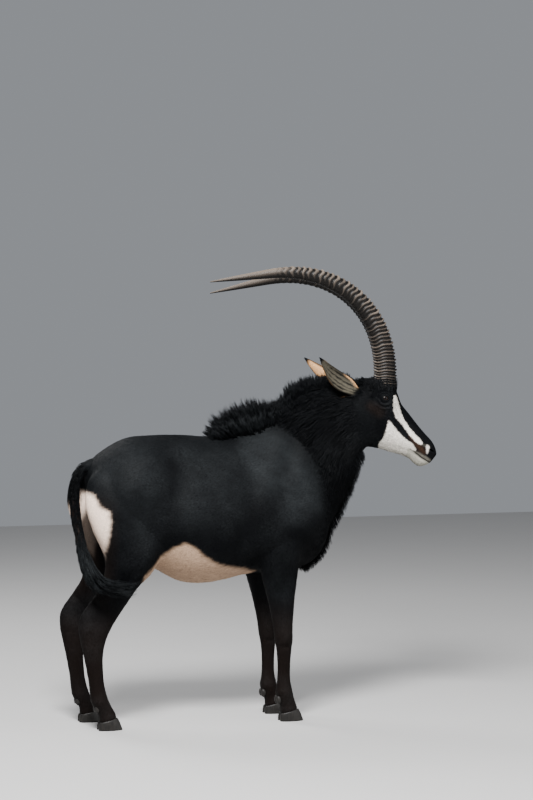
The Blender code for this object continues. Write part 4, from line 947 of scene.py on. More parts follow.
def marking(points, coat):
    """The coat's colour at each place: soft outlines and lines of white and tan laid over the black, with a
    painted grey sheen, painted shade between the thighs and a painted shadow round the tail.
    """
    flat = points[:, [0, 2]] + np.stack((ripple(points, 0.021), ripple(points, 0.017)), -1) * 0.004
    colours = np.tile(np.asarray(coat.black, float), (len(points), 1))
    x, y, z = points.T
    leg = smoothstep(-z, -0.60, -0.40)
    colours = blend(colours, coat.brown, LEG_BROWN * leg)
    rear = smoothstep(-x, 0.36, 0.50) * smoothstep(z, 0.50, 0.75) * smoothstep(-z, -1.1, -0.9)
    colours = blend(colours, coat.brown, REAR_BROWN * rear)
    # Painted sheen: grey added to the black where the light makes the coat shine.
    colours = colours + np.asarray(coat.sheen, float) * shining(points, flat)[:, None]
    belly = inside(flat, BELLY_PATCH, 0.012) * smoothstep(z, 0.585, 0.625)
    colours = blend(colours, coat.cream, belly)
    edge = np.interp(z, *RUMP_EDGE)
    rump = inside(flat, RUMP_PATCH, 0.013) * np.where(y > 0, smoothstep(x - edge, -0.008, 0.012), 1)
    # Painted shade: the rump patch darkened towards the middle, between the thighs.
    inner = smoothstep(np.interp(z, *INNER_THIGH_SHADE) - np.abs(y), -0.015, 0.015)
    # Painted shadow: the rump patch left black in a band round the tail's line, as the tail's shadow.
    tail = smoothstep(-tail_distance(points), -0.034, -0.027)
    colours = blend(colours, coat.rump, rump * (1 - tail) * (1 - 0.93 * inner))
    head = (points[:, 0] > 0.50) & (points[:, 2] > 1.12)
    colours[head] = head_marking(points[head], colours[head], coat)
    return colours


def tail_distance(points):
    """How far each place is from the tail's line."""
    line = spread(TAIL_LINE, 4)
    away = np.full(len(points), 9.0)
    near = points[:, 0] < -0.35
    away[near] = to_stretches(points[near], line[:-1], np.diff(line, axis=0))[1].min(1)
    return away


def head_marking(points, colours, coat):
    """The face's stripe, cheek and chin in white with its black blaze, painted shade on the cheek's lower
    part, and the tan of the ears.
    """
    straight = unturned(points, 1.0)
    flat = straight[:, [0, 2]] + np.stack((ripple(points, 0.012), ripple(points, 0.010)), -1) * 0.0026
    beside = np.abs(straight[:, 1])
    forward = straight[:, 0] > 0.86
    side_on = smoothstep(beside, 0.010, 0.018)
    colours = blend(colours, coat.brown, CHEEK_BROWN_SHARE * near_line(flat, CHEEK_BROWN, 0.022) * side_on)
    muzzle = near_line(flat, MUZZLE_BROWN, 0.010) * side_on
    colours = blend(colours, coat.brown, MUZZLE_BROWN_SHARE * muzzle)
    cheek = inside(flat, CHEEK_PATCH, 0.004) * forward
    colours = blend(colours, coat.white, cheek)
    # Painted shade: the cheek's white greyed towards its bottom.
    colours = blend(colours, coat.chin, CHEEK_PAINTED_SHADE * cheek * smoothstep(-flat[:, 1], -1.34, -1.21))
    colours = blend(colours, coat.chin, inside(flat, CHIN_PATCH, 0.005))
    colours = blend(colours, coat.lip, near_line(flat, LIP_LINE, 0.005) * side_on)
    mouth = near_line(flat, [(x, z, 0.0012) for x, z, _ in MOUTH_LINE], 0.0016)
    colours = blend(colours, coat.black, mouth)
    stripe = near_line(flat, FACE_STRIPE, 0.0035) * smoothstep(beside, *BLAZE_HALF)
    colours = blend(colours, coat.white, stripe)
    flecks = STRIPE_GREY * stripe * smoothstep(flat[:, 1], 1.33, 1.45) * (1 + ripple(points, 0.006))
    colours = blend(colours, coat.chin, flecks)
    colours = blend(colours, coat.lip, BRIDGE_GREY * near_line(flat, NOSE_BRIDGE, 0.005) * side_on)
    colours = blend(colours, coat.white, SPOT_WHITE * near_line(flat, NOSE_SPOT, 0.004) * side_on)
    for side, sign in SIDES:
        colours = ear_marking(straight, colours, coat, side, sign)
    return colours


def ear_marking(straight, colours, coat, side, sign):
    """The ear by its own place along, across and in depth: tan back, pale inside, black tip and rim."""
    base, length, axis, mouth, across, bow = ear_axes(side, sign)
    at = (straight - base) @ axis / length
    offset = straight - base - bow * np.sin(np.pi * np.clip(at, 0, 1))[:, None]
    half = np.interp(at, EAR_STATIONS, EAR_HALF_WIDTHS)
    depth = np.interp(at, EAR_STATIONS, EAR_DEPTHS)
    reach = np.hypot(offset @ across, offset @ mouth)
    ear = smoothstep(at, 0.0, 0.07) * (at < 1.05) * (reach < np.maximum(half, depth) + 0.012)
    curve = (offset @ across) / np.maximum(half, NOTHING)
    shell = depth * np.sqrt(np.clip(1 - curve**2, 0, 1))
    inner = smoothstep(shell + offset @ mouth, 0.0016, 0.0034)
    colours = blend(colours, coat.tan, ear * (1 - inner))
    pale = ear * inner
    colours = blend(colours, coat.grey, pale)
    fine = np.sin(curve * 15 + at * 9 + 1.2 * ripple(straight, 0.020))
    slow = ripple(straight, 0.026)
    dark = smoothstep(fine + 0.8 * slow, 0.0, 1.1) * smoothstep(-np.abs(curve), -1.0, -0.80)
    colours = blend(colours, coat.black, pale * 0.85 * dark * smoothstep(-at, -0.82, -0.70))
    colours = blend(colours, coat.black, ear * smoothstep(at, 0.86, 0.95))
    upper = smoothstep(sign * curve * EAR_UPPER, 0.72, 0.95)
    colours = blend(colours, coat.tan, ear * inner * upper * smoothstep(-at, -0.45, -0.30))
    edge = smoothstep(sign * curve * EAR_UPPER, 0.70, 0.92) * smoothstep(at, 0.30, 0.44)
    colours = blend(colours, coat.black, ear * edge * 0.85)
    lower = smoothstep(-sign * curve * EAR_UPPER, 0.74, 0.90)
    return blend(colours, coat.black, ear * lower * 0.9)


def lie_of(points, normals):
    """The short coat's lie: a table's arrows, weighed by e to the minus squared distance and laid flat."""
    share = turn_share(points)
    straight = unturned(points, share)
    table = np.asarray(LIE, float)
    away = (straight[:, None, 0] - table[:, 0]) ** 2 + (straight[:, None, 2] - table[:, 1]) ** 2
    weight = np.exp(-away / (2 * LIE_REACH**2)) + 1e-9 / (away + 1e-3)
    heading = np.radians(table[:, 2])
    way = unit(np.stack((weight @ np.cos(heading), 0 * straight[:, 0], weight @ np.sin(heading)), -1))
    shank = smoothstep(-points[:, 2], -SHANK_TOP - 0.05, -SHANK_TOP + 0.05)[:, None]
    way = way * (1 - shank) + np.array((0.0, 0.0, -1.0)) * shank
    angle = HEAD_YAW * share
    way = np.stack((way[:, 0] * np.cos(angle), way[:, 0] * np.sin(angle), way[:, 2]), -1)
    return unit(way - normals * (way * normals).sum(1, keepdims=True))


def ear_way(points, normals):
    """The way the ear's hair lies: along the nearer ear to its tip, laid flat on the skin."""
    ways = []
    for side, sign in SIDES:
        ends = np.array((EAR_BASE, EAR_TIP[side])) * (1, sign, 1)
        ways.append(unit(np.diff(turned(ends, 1.0), axis=0)[0]))
    way = np.where((unturned(points, 1.0)[:, 1] > 0)[:, None], ways[1], ways[0])
    return unit(way * 1.6 - normals * (way * normals).sum(1, keepdims=True))


def unwrap(points):
    """An unwrap of the skin's own shape: length by angle round the axis of the trunk and of each leg."""
    x, y, z = points.T
    middle = np.interp(x, (-0.5, 0.3, 0.7, 0.9, 1.15), (1.02, 1.0, 1.28, 1.38, 1.2))
    along = np.interp(x, (-0.75, 1.25), (0.01, 0.98))
    round_body = np.arctan2(y, z - middle) / (2 * np.pi) + 0.5
    u, v = along, 0.01 + 0.52 * round_body
    front = x > 0
    centre = np.where(front, 0.41, np.interp(z, (0.0, 0.35, 0.5, 0.7), (-0.43, -0.49, -0.47, -0.35)))
    low = z < 0.62
    leg = front * 2 + (y > 0)
    round_leg = np.arctan2(np.abs(y) - 0.115, x - centre) / (2 * np.pi) + 0.5
    u = np.where(low, 0.01 + 0.97 * z / 0.64, u)
    v = np.where(low, 0.55 + 0.105 * leg + 0.10 * round_leg, v)
    return np.clip(np.stack((u, v), -1), 0.004, 0.99)


def scatter(skin, count, weight, draw):
    """Roots strewn over the skin: triangles drawn by area times weight, and an even place within each."""
    mesh = skin.data
    mesh.calc_loop_triangles()
    corners = array_of(mesh.loop_triangles, "vertices", 3, np.int32)
    points, normals = surface(skin)
    a, b, c = (points[corners[:, k]] for k in range(3))
    area = np.linalg.norm(np.cross(b - a, c - a), axis=1) / 2
    chance = area * np.maximum(weight((a + b + c) / 3, unit(normals[corners].sum(1))), 0)
    chosen = draw.choice(len(corners), count, p=chance / chance.sum())
    first, second = draw.random(count), draw.random(count)
    over = first + second > 1
    first, second = np.where(over, 1 - first, first), np.where(over, 1 - second, second)
    share = np.stack((1 - first - second, first, second), -1)[..., None]
    picked = corners[chosen]
    return (points[picked] * share).sum(1), unit((normals[picked] * share).sum(1))


def gather(roots, tips, clumps, pull, draw):
    """Hair tips drawn towards the tip of the nearest of a few chosen hairs, so that they hang in locks."""
    leaders = draw.choice(len(roots), min(clumps, len(roots)), replace=False)
    nearest = np.empty(len(roots), int)
    for start in range(0, len(roots), 2000):
        part = roots[start:start + 2000]
        nearest[start:start + 2000] = ((part[:, None] - roots[leaders][None]) ** 2).sum(-1).argmin(1)
    goal = tips[leaders][nearest] + (roots - roots[leaders][nearest]) * 0.35
    return tips + (goal - tips) * np.asarray(pull)


def hair(name, roots, tips, bend, out, width, thick, rings, colours, coat_look, tip_shade=1.0, even=0.0):
    """Tapered hairs: centre = root + (tip - root) t + bend (t squared - t), their width falling with t.

    Every hair has three sides and a face at its root, and ends in a point. Its UV patch lies at its root's
    place. Its shading normals lean by the share even towards the skin's, so that flat hair takes the light
    as one coat.
    """
    count = len(roots)
    t = np.linspace(0, 1, rings + 1)
    taper = 1 - t[:-1] ** 2.2
    line = roots[:, None] + (tips - roots)[:, None] * t[None, :, None]
    line = line + bend[:, None] * (t * t - t)[None, :, None]
    way = unit(np.gradient(line, axis=1))
    across = unit(np.cross(way, out[:, None]))
    up = np.cross(across, way)
    half = (width[:, None] / 2 * taper)[..., None]
    high = (thick[:, None] * taper)[..., None]
    stem, side, rise = line[:, :-1], across[:, :-1], up[:, :-1]
    body = np.stack((stem - side * half, stem + side * half, stem + rise * high), 2)
    points = np.concatenate((body.reshape(count, -1, 3), line[:, -1:]), 1)
    per = rings * 3 + 1
    faces = [(0, 1, 2)]
    for ring in range(rings - 1):
        for corner in range(3):
            a, b = ring * 3 + corner, ring * 3 + (corner + 1) % 3
            faces += [(a, a + 3, b + 3), (a, b + 3, b)]
    last = (rings - 1) * 3
    faces += [(last + corner, per - 1, last + (corner + 1) % 3) for corner in range(3)]
    faces = np.asarray(faces)
    index = (np.arange(count) * per)[:, None, None] + faces[None]
    made = array_mesh(name, points.reshape(-1, 3) + SHIFT, index.reshape(-1, 3))
    place = unwrap(roots)
    patch = np.empty((per, 2))
    patch[:-1, 0] = np.tile((0.0, 0.003, 0.0015), rings)
    patch[:-1, 1] = np.repeat(t[:-1] * 0.003, 3)
    patch[-1] = (0.0015, 0.003)
    layer = made.data.uv_layers.new(name="OFBake")
    spots = (place[:, None] + patch[None]).reshape(-1, 2)
    layer.data.foreach_set("uv", spots[index.reshape(-1)].astype(np.float32).ravel())
    shade = np.ones(per)
    shade[:-1] = np.repeat(1 + (tip_shade - 1) * t[:-1], 3)
    shade[-1] = tip_shade
    paint(made, "coat_colour", (colours[:, None] * shade[None, :, None]).reshape(-1, 3))
    dress(made, coat_look)
    if even:
        own = array_of(made.data.vertices, "normal")
        calm = unit(own * (1 - even) + np.repeat(out, per, axis=0) * even)
        made.data.normals_split_custom_set_from_vertices(calm.tolist())
    return made


def array_mesh(name, points, triangles):
    """A mesh object from arrays of points and triangles."""
    mesh = bpy.data.meshes.new(name)
    mesh.vertices.add(len(points))
    mesh.vertices.foreach_set("co", np.asarray(points, np.float32).ravel())
    mesh.loops.add(triangles.size)
    mesh.loops.foreach_set("vertex_index", triangles.astype(np.int32).ravel())
    mesh.polygons.add(len(triangles))
    mesh.polygons.foreach_set("loop_start", np.arange(0, triangles.size, 3, dtype=np.int32))
    mesh.update(calc_edges=True)
    return placed(name, mesh)


def paint(obj, name, colours):
    """A colour for each vertex, kept as an attribute that the material reads."""
    layer = obj.data.attributes.new(name, "FLOAT_COLOR", "POINT")
    filled = np.concatenate((np.clip(colours, 0, 1), np.ones((len(colours), 1))), 1)
    layer.data.foreach_set("color", filled.astype(np.float32).ravel())


def dress(obj, look):
    """Gives a piece its material and its slot, shades it smooth and lets it ride on the body."""
    obj.data.materials.clear()
    obj.data.materials.append(look)
    obj.data.polygons.foreach_set("use_smooth", np.ones(len(obj.data.polygons), bool))
    obj.data.update()
    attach(obj, BODY)


def node(tree, kind, place, feeds, **values):
    """A shader node with its settings and its sockets' numbers, fed by other nodes' outputs."""
    made = tree.nodes.new("ShaderNode" + kind)
    made.location = place
    for name, value in values.items():
        if hasattr(made, name):
            setattr(made, name, value)
        else:
            made.inputs[name.replace("_", " ")].default_value = value
    for name, output in feeds.items():
        tree.links.new(output, made.inputs[name])
    return made


def new_look(name, roughness, **values):
    """A material with an empty procedural tree around its own shader."""
    look = bpy.data.materials.new(name)
    look.use_nodes = True
    shader = look.node_tree.nodes["Principled BSDF"]
    shader.inputs["Roughness"].default_value = roughness
    for key, value in values.items():
        shader.inputs[key.replace("_", " ")].default_value = value
    return look, look.node_tree, shader


def own_place(tree):
    return node(tree, "TexCoord", (-1300, 0), {}).outputs["Object"]


def own_colour(tree, name):
    return node(tree, "Attribute", (-900, 300), {}, attribute_name=name).outputs["Color"]


def noise(tree, vector, place, scale, detail, roughness=0.5):
    """A noise from 0 to 1 over the places of a vector."""
    numbers = {"Scale": scale, "Detail": detail, "Roughness": roughness}
    return node(tree, "TexNoise", place, {"Vector": vector}, **numbers).outputs["Fac"]


def shaded(tree, colour, value, least, most, span=(0.3, 0.7)):
    """A colour times a noise, of which the middle span is stretched from the least to the most."""
    numbers = {"From_Min": span[0], "From_Max": span[1], "To_Min": least, "To_Max": most}
    share = node(tree, "MapRange", (-450, 120), {"Value": value}, **numbers)
    feeds = {0: colour, "Scale": share.outputs["Result"]}
    return node(tree, "VectorMath", (-250, 260), feeds, operation="SCALE").outputs["Vector"]


def ramped(tree, value, colours, places=(0.0, 1.0)):
    """A colour read by a value between two colours, which hold at two places."""
    made = node(tree, "ValToRGB", (-650, 300), {"Fac": value})
    for end, colour, place in zip(made.color_ramp.elements, colours, places):
        end.color = (*colour, 1)
        end.position = place
    return made.outputs["Color"]


def bumped(tree, shader, height, strength, distance, below=None):
    """Raises the shader's normal by a height, on top of the bump below where there is one."""
    feeds = {"Height": height} if below is None else {"Height": height, "Normal": below}
    made = node(tree, "Bump", (-250, -200), feeds, Strength=strength, Distance=distance)
    tree.links.new(made.outputs["Normal"], shader.inputs["Normal"])


def with_painted_sheen(tree, place, fine, colour):
    """The colour plus a faint grey painted sheen: fine streaks times slow patches, each noise stretched to
    0..1.
    """
    product = node(tree, "Math", (-400, -900), {}, operation="MULTIPLY")
    slow = noise(tree, place, (-900, -900), 5.5, 2.0)
    for number, value in enumerate((fine, slow)):
        spot = (-650, -900 - 300 * number)
        stretch = node(tree, "MapRange", spot, {"Value": value}, From_Min=0.38, From_Max=0.66)
        tree.links.new(stretch.outputs["Result"], product.inputs[number])
    painted_sheen = node(tree, "VectorMath", (-200, -900), {"Scale": product.outputs["Value"]}, operation="SCALE")
    painted_sheen.inputs[0].default_value = COAT_PAINTED_SHEEN
    feeds = {0: colour, 1: painted_sheen.outputs["Vector"]}
    return node(tree, "VectorMath", (0, -900), feeds, operation="ADD").outputs["Vector"]


def skin_look(coat):
    """Short fur as colour by the marking, streaked by fine noise, with a faint painted sheen and a bump of
    fine hairs.
    """
    look, tree, shader = new_look("short coat skin", coat.roughness, Specular_IOR_Level=coat.gloss)
    place = own_place(tree)
    streaks = []
    for row, scale in enumerate(((90.0, 420.0, 420.0), (420.0, 420.0, 90.0))):
        stretch = node(tree, "Mapping", (-1100, -260 * row), {"Vector": place}, Scale=scale)
        streaks.append(noise(tree, stretch.outputs["Vector"], (-900, -260 * row), 1.0, 3.0, 0.6))
    height = node(tree, "SeparateXYZ", (-1100, -560), {"Vector": place}).outputs["Z"]
    lower = node(tree, "MapRange", (-900, -560), {"Value": height}, From_Min=0.75, From_Max=0.55)
    feeds = {0: lower.outputs["Result"], 2: streaks[0], 3: streaks[1]}
    grain = node(tree, "Mix", (-650, -120), feeds, data_type="FLOAT").outputs[0]
    colour = shaded(tree, own_colour(tree, "coat_colour"), grain, 0.70, 1.18)
    tree.links.new(with_painted_sheen(tree, place, grain, colour), shader.inputs["Base Color"])
    mottle = noise(tree, place, (-650, -500), 62.0, 3.0, 0.55)
    broad = node(tree, "Bump", (-450, -400), {"Height": mottle}, Strength=0.45, Distance=0.0035)
    bumped(tree, shader, grain, 0.40, 0.0010, broad.outputs["Normal"])
    return look


def hair_look(name, roughness, gloss):
    """Hair by its own colour, with a fine change of lightness from place to place and a faint painted sheen
    in slow patches.
    """
    look, tree, shader = new_look(name, roughness, Specular_IOR_Level=gloss)
    place = own_place(tree)
    grain = noise(tree, place, (-900, 0), 120.0, 3.0, 0.6)
    colour = shaded(tree, own_colour(tree, "coat_colour"), grain, 0.65, 1.35)
    tree.links.new(with_painted_sheen(tree, place, grain, colour), shader.inputs["Base Color"])
    return look


def horn_centre(side, sign, at):
    """The horn's middle line and heading: a heading that eases from its start to its bend, added up."""
    fine = np.linspace(0, 1, 800)
    ease = np.clip(fine / HORN_TURNED, 0, 1)
    heading = HORN_START + HORN_BEND[side] * ((1 - HORN_EASE) * ease + HORN_EASE * smoothstep(ease, 0, 1))
    step = HORN_LENGTH / (len(fine) - 1)
    x = HORN_BASE[0] + np.concatenate(([0], np.cumsum(np.cos(heading[:-1]) * step)))
    z = HORN_BASE[1] + np.concatenate(([0], np.cumsum(np.sin(heading[:-1]) * step)))
    angle = np.interp(at, fine, heading)
    before = np.minimum(at, 0) * HORN_LENGTH
    across = sign * (HORN_SPACING / 2 + HORN_SPLAY * np.clip(at, 0, 1) ** 1.25)
    along = np.interp(at, fine, x) + before * np.cos(angle)
    rise = np.interp(at, fine, z) + before * np.sin(angle)
    return np.stack((along, across, rise), -1), angle


def horn_grid(side, sign, rings, rib):
    """A horn on a grid of length and angle: a tapering oval that swells in wavy rings, and its tone, with
    painted light and shade.
    """
    at = np.concatenate((np.linspace(HORN_ROOT, 0.8, HORN_STATIONS - 60), np.linspace(0.8, 1.0, 61)[1:]))
    centre, angle = horn_centre(side, sign, at)
    reach = np.clip(at, 0, 1)
    radius = HORN_RADIUS * (1 - reach**1.7) ** 0.95 + HORN_TIP
    turn = full_turn(HORN_AROUND)
    along = at / HORN_RIBBED
    wave = 0.15 * np.sin(turn * 4 + sign)[None, :] + 0.10 * np.sin(at * 61)[:, None]
    crowd = (1 - HORN_CROWDING) * along + HORN_CROWDING * (1 - np.exp(-HORN_EASING * along))
    crowd = crowd / (1 - HORN_CROWDING * math.exp(-HORN_EASING))
    phase = rings * crowd[:, None] + wave
    saw = phase % 1.0
    ridge = smoothstep(saw, 0.12, 0.56) * (1 - smoothstep(saw, 0.68, 0.95))
    fade = np.clip((HORN_RIBBED + 0.02 - at) / 0.10, 0, 1)
    uneven = 0.80 + 0.20 * np.sin(np.floor(phase) * 2.4)
    front = 0.5 - 0.5 * np.cos(turn)[None, :]
    ridge = ridge * fade[:, None] * uneven
    # The tone paints light and shade: ridges lighter than hollows, partly for wear and partly as painted
    # light with painted shade in the hollows; above the base the front and outer side is painted lighter,
    # near the base the back side, and the smooth tip and upper hollows on the front side, as painted light.
    low = 1 - smoothstep(at, 0.05, 0.30)[:, None]
    worn = (1 - low) * (0.26 + 0.74 * front**2) + low * (0.80 - 0.45 * front)
    bare = (1 - fade[:, None]) * (0.14 + 0.46 * front**2)
    tone = ridge * worn + bare + 0.20 * smoothstep(at, 0.36, 0.62)[:, None] * (1 - ridge) * front
    ridge = ridge * (0.45 + 0.55 * front)
    radius = radius[:, None] * (1 - 0.5 * rib * fade[:, None]) + ridge * rib * radius[:, None] * 1.6
    up = np.stack((-np.sin(angle), np.zeros_like(angle), np.cos(angle)), -1)
    ring = (
        up[:, None] * (np.cos(turn) * HORN_DEEP)[None, :, None]
        + np.array((0.0, 1.0, 0.0)) * (np.sin(turn) * HORN_WIDE)[None, :, None]
    )
    points = turned(centre[:, None] + ring * radius[..., None], 1.0)
    around = np.stack((np.cos(turn) * 9 + 0 * at[:, None], np.sin(turn) * 9 + 0 * at[:, None]), -1)
    grain = np.concatenate((around, (at * 14)[:, None, None] + 0 * around[..., :1]), -1)
    return points, tone, grain


def horn_look(horns):
    """Horn whose ridges are paler with wear and painted lighter as lit, with hollows between them painted
    dark as shade, and fine lines along its length.
    """
    look, tree, shader = new_look("ringed horn", 0.42, Specular_IOR_Level=0.12)
    tone = node(tree, "Attribute", (-900, 300), {}, attribute_name="tone").outputs["Fac"]
    lines = node(tree, "Attribute", (-1100, 0), {}, attribute_name="grain").outputs["Vector"]
    grain = noise(tree, lines, (-900, 0), 2.4, 5.0, 0.65)
    colour = shaded(tree, ramped(tree, tone, (horns.hollow, horns.crest), (0.22, 0.92)), grain, 0.55, 1.3)
    tree.links.new(colour, shader.inputs["Base Color"])
    bumped(tree, shader, grain, 0.5, 0.0015)
    return look


def attribute(obj, name, kind, what, values):
    """A value for each vertex, kept for the material."""
    layer = obj.data.attributes.new(name, kind, "POINT")
    layer.data.foreach_set(what, np.ascontiguousarray(values, np.float32).ravel())


def make_horn(side, sign, horns, look):
    """One horn, from inside the skull to its tip."""
    points, tone, grain = horn_grid(side, sign, horns.rings, horns.ridge_height)
    horn = tube(f"ringed_horn_{side}", points + SHIFT)
    attribute(horn, "tone", "FLOAT", "value", tone)
    attribute(horn, "grain", "FLOAT_VECTOR", "vector", grain)
    dress(horn, look)
    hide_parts(f"horn_{side}")
    return horn


def claw_grid(front, heel, across, sign):
    """One claw on a grid of height and angle: a pinched oval that grows to the sole, straight inside."""
    turn = full_turn(44)[None, :]
    up = np.array((0.0, 0.02, 0.08, 0.18, 0.30, 0.45, 0.60, 0.74, 0.86, 0.94, 0.985, 1.0))[:, None]
    toe = HOOF_TOE * (1 - up)
    start, stop = heel[0] - 0.004 * (1 - up), front[0] + toe
    inset = 0.0035 * smoothstep(up, 0.90, 1.0) + 0.0022 * (1 - smoothstep(up, 0.0, 0.06))
    ridges = 0.0006 * np.sin(up * 34) * smoothstep(up, 0.2, 0.4)
    middle, half_length = (start + stop) / 2, (stop - start) / 2 - inset + ridges
    x = middle + half_length * np.cos(turn)
    pinch = 1 - 0.42 * np.clip(np.cos(turn), 0, 1) ** 2.5
    y = np.sin(turn) * (HOOF_WIDTH / 2 * (1.0 - 0.05 * up) - inset + ridges) * pinch
    y = np.where(np.sign(y) == -sign, y * 0.62, y)
    top = heel[1] + (front[1] - heel[1]) * (x - heel[0]) / (front[0] - heel[0])
    return np.stack((x, across + y, np.maximum(top, 0.02) * up), -1)


def dewclaw_grid(centre):
    """A small blunt claw: a ball on a grid of two angles, flattened and drawn down to its tip."""
    down = np.linspace(0.06, np.pi - 0.06, 14)[:, None]
    turn = full_turn(20)[None, :]
    wide = np.sin(down) ** 0.8 * (1 - 0.25 * smoothstep(down, 1.6, 3.1))
    x, y, z = wide * np.cos(turn) * 0.0115, wide * np.sin(turn) * 0.0105, np.cos(down) * 0.019 + 0 * turn
    return np.stack((x, y, z), -1) + np.asarray(centre)


def make_hooves(kind, side, sign, look):
    """One foot's two claws and two dewclaws as one piece."""
    (front_x, front_z), (heel_x, heel_z) = CORONETS[kind]
    shift = STANCE[f"{kind}_{side}"]
    front, heel = (front_x + shift, front_z + 0.001), (heel_x + shift, heel_z + 0.001)
    across = sign * (FORELEG if kind == "fore" else HINDLEG)[-1].side
    parts = []
    for step in (sign, -sign):
        parts.append(tube("claw", claw_grid(front, heel, across + step * HOOF_WIDTH * 0.42, step)))
        parts.append(tube("dewclaw", dewclaw_grid((heel[0] - 0.009, across + step * 0.019, 0.098))))
    hoof = joined(f"hoof_pair_{kind}_{side}", parts)
    hoof.data.transform(Matrix.Translation(SHIFT))
    dress(hoof, look)
    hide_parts(f"{kind}leg_{side}_hoof_inner", f"{kind}leg_{side}_hoof_outer")
    return hoof


def hoof_look(hooves):
    """Dark horn with fine growth lines down the wall and worn, paler edges."""
    look, tree, shader = new_look("hoof horn", 0.5, Specular_IOR_Level=0.2)
    stretch = node(tree, "Mapping", (-1100, 0), {"Vector": own_place(tree)}, Scale=(260.0, 260.0, 40.0))
    grain = noise(tree, stretch.outputs["Vector"], (-900, 0), 1.0, 4.0)
    colour = ramped(tree, grain, (hooves.colour, hooves.worn), (0.35, 0.75))
    tree.links.new(colour, shader.inputs["Base Color"])
    bumped(tree, shader, grain, 0.4, 0.001)
    return look


def eye_grid(sign):
    """An eyeball on a grid of two angles about the way it looks, with the cornea's slight bulge."""
    centre, looking, long_way, short_way = eye_axes(sign)
    down = np.linspace(0.02, np.pi - 0.02, 40)[:, None]
    turn = full_turn(64)[None, :]
    radius = EYE_RADIUS * (0.985 + 0.05 * np.exp(-((down / 0.55) ** 2)))
    wide, tall = np.sin(down) * np.cos(turn), np.sin(down) * np.sin(turn)
    shape = looking * (np.cos(down) + 0 * turn)[..., None] + long_way * wide[..., None]
    shape = shape + short_way * tall[..., None]
    pupil = 1 - smoothstep(np.hypot(wide / 0.34, tall / 0.20), 0.85, 1.1)
    iris = 1 - smoothstep(np.hypot(wide, tall) / 0.66, 0.90, 1.05)
    return centre + shape * radius[..., None], pupil.ravel(), iris.ravel()


def eye_look():
    """A dark, wet eyeball by its own colour, with a fine grain."""
    shine = {"Specular_IOR_Level": 0.08, "Coat_Weight": 0.04, "Coat_Roughness": 0.05}
    look, tree, shader = new_look("eye", 0.2, **shine)
    grain = noise(tree, own_place(tree), (-700, 0), 900.0, 2.0)
    colour = shaded(tree, own_colour(tree, "eye_colour"), grain, 0.7, 1.3, (0.0, 1.0))
    tree.links.new(colour, shader.inputs["Base Color"])
    return look


def leave(flag):
    """Ends an operator, or fails where its piece is missing."""
    if not flag:
        raise RuntimeError("a piece could not be made")
    return {"FINISHED"}


class CoatSettings(bpy.types.PropertyGroup):
    """Colours and sizes of the skin and the hair."""

    black: FloatVectorProperty(
        name="Black", description="Main colour of the coat", subtype="COLOR",
        default=(0.0016, 0.0018, 0.0022),
    )
    # Painted sheen: the grey added to the black's colour where the coat shines in the light.
    sheen: FloatVectorProperty(
        name="Sheen", description="Grey of the short coat where it shines", subtype="COLOR",
        default=(0.0056, 0.0064, 0.0067),
    )
    brown: FloatVectorProperty(
        name="Brown", description="Brown that shows through on legs and cheeks", subtype="COLOR",
        default=(0.030, 0.015, 0.008),
    )
    white: FloatVectorProperty(
        name="White", description="White of the face", subtype="COLOR", default=(0.64, 0.60, 0.545)
    )
    rump: FloatVectorProperty(
        name="Rump", description="Pale patch under the tail", subtype="COLOR",
        default=(0.71, 0.555, 0.450),
    )
    chin: FloatVectorProperty(
        name="Chin", description="Grey-white of the chin", subtype="COLOR", default=(0.24, 0.23, 0.195)
    )
    lip: FloatVectorProperty(
        name="Lip", description="Dull grey of the upper lip", subtype="COLOR",
        default=(0.075, 0.070, 0.058),
    )
    cream: FloatVectorProperty(
        name="Cream", description="Cream of the belly", subtype="COLOR", default=(0.33, 0.222, 0.150)
    )
    tan: FloatVectorProperty(
        name="Tan", description="Tan of the ears", subtype="COLOR", default=(0.43, 0.240, 0.112)
    )
    grey: FloatVectorProperty(
        name="Pale grey", description="Hair inside the ears", subtype="COLOR",
        default=(0.056, 0.050, 0.037),
    )
    roughness: FloatProperty(
        name="Roughness", description="Roughness of the short coat", subtype="FACTOR", min=0, max=1,
        default=0.6,
    )
    gloss: FloatProperty(
        name="Gloss", description="Strength of the hair's shine", subtype="FACTOR", min=0, max=1,
        default=0.03,
    )
    body_length: FloatProperty(
        name="Body hair", description="Length of the short hair on the body", unit="LENGTH",
        default=0.015,
    )
    face_length: FloatProperty(
        name="Face hair", description="Length of the hair on the face", unit="LENGTH", default=0.008
    )
    mane_width: FloatProperty(
        name="Mane hair width", description="Width of one tuft of long hair", unit="LENGTH",
        default=0.0030,
    )
    density: FloatProperty(
        name="Density", description="Share of the full number of tufts", subtype="FACTOR", min=0.01, max=1,
        default=1.0,
    )


class HornSettings(bpy.types.PropertyGroup):
    """Rings and colours of the horns."""

    rings: IntProperty(name="Rings", description="Number of rings on a horn", default=40, min=4, max=80)
    ridge_height: FloatProperty(
        name="Ridge height", description="Height of a ring as a share of the radius", subtype="FACTOR",
        min=0, max=0.3, default=0.12,
    )
    # Partly painted shade: the hollows between the rings are darkened as shade.
    hollow: FloatVectorProperty(
        name="Hollow", description="Colour between the rings", subtype="COLOR",
        default=(0.0042, 0.0036, 0.0032),
    )
    # Partly painted light: the crests are paler with wear and lightened as lit.
    crest: FloatVectorProperty(
        name="Crest", description="Colour on top of the rings", subtype="COLOR",
        default=(0.150, 0.120, 0.096),
    )


class FootSettings(bpy.types.PropertyGroup):
    """Colours of the hooves."""

    colour: FloatVectorProperty(
        name="Hoof", description="Main colour of the hooves", subtype="COLOR",
        default=(0.0060, 0.0056, 0.0052),
    )
    worn: FloatVectorProperty(
        name="Worn", description="Colour of the worn streaks", subtype="COLOR",
        default=(0.017, 0.015, 0.013),
    )


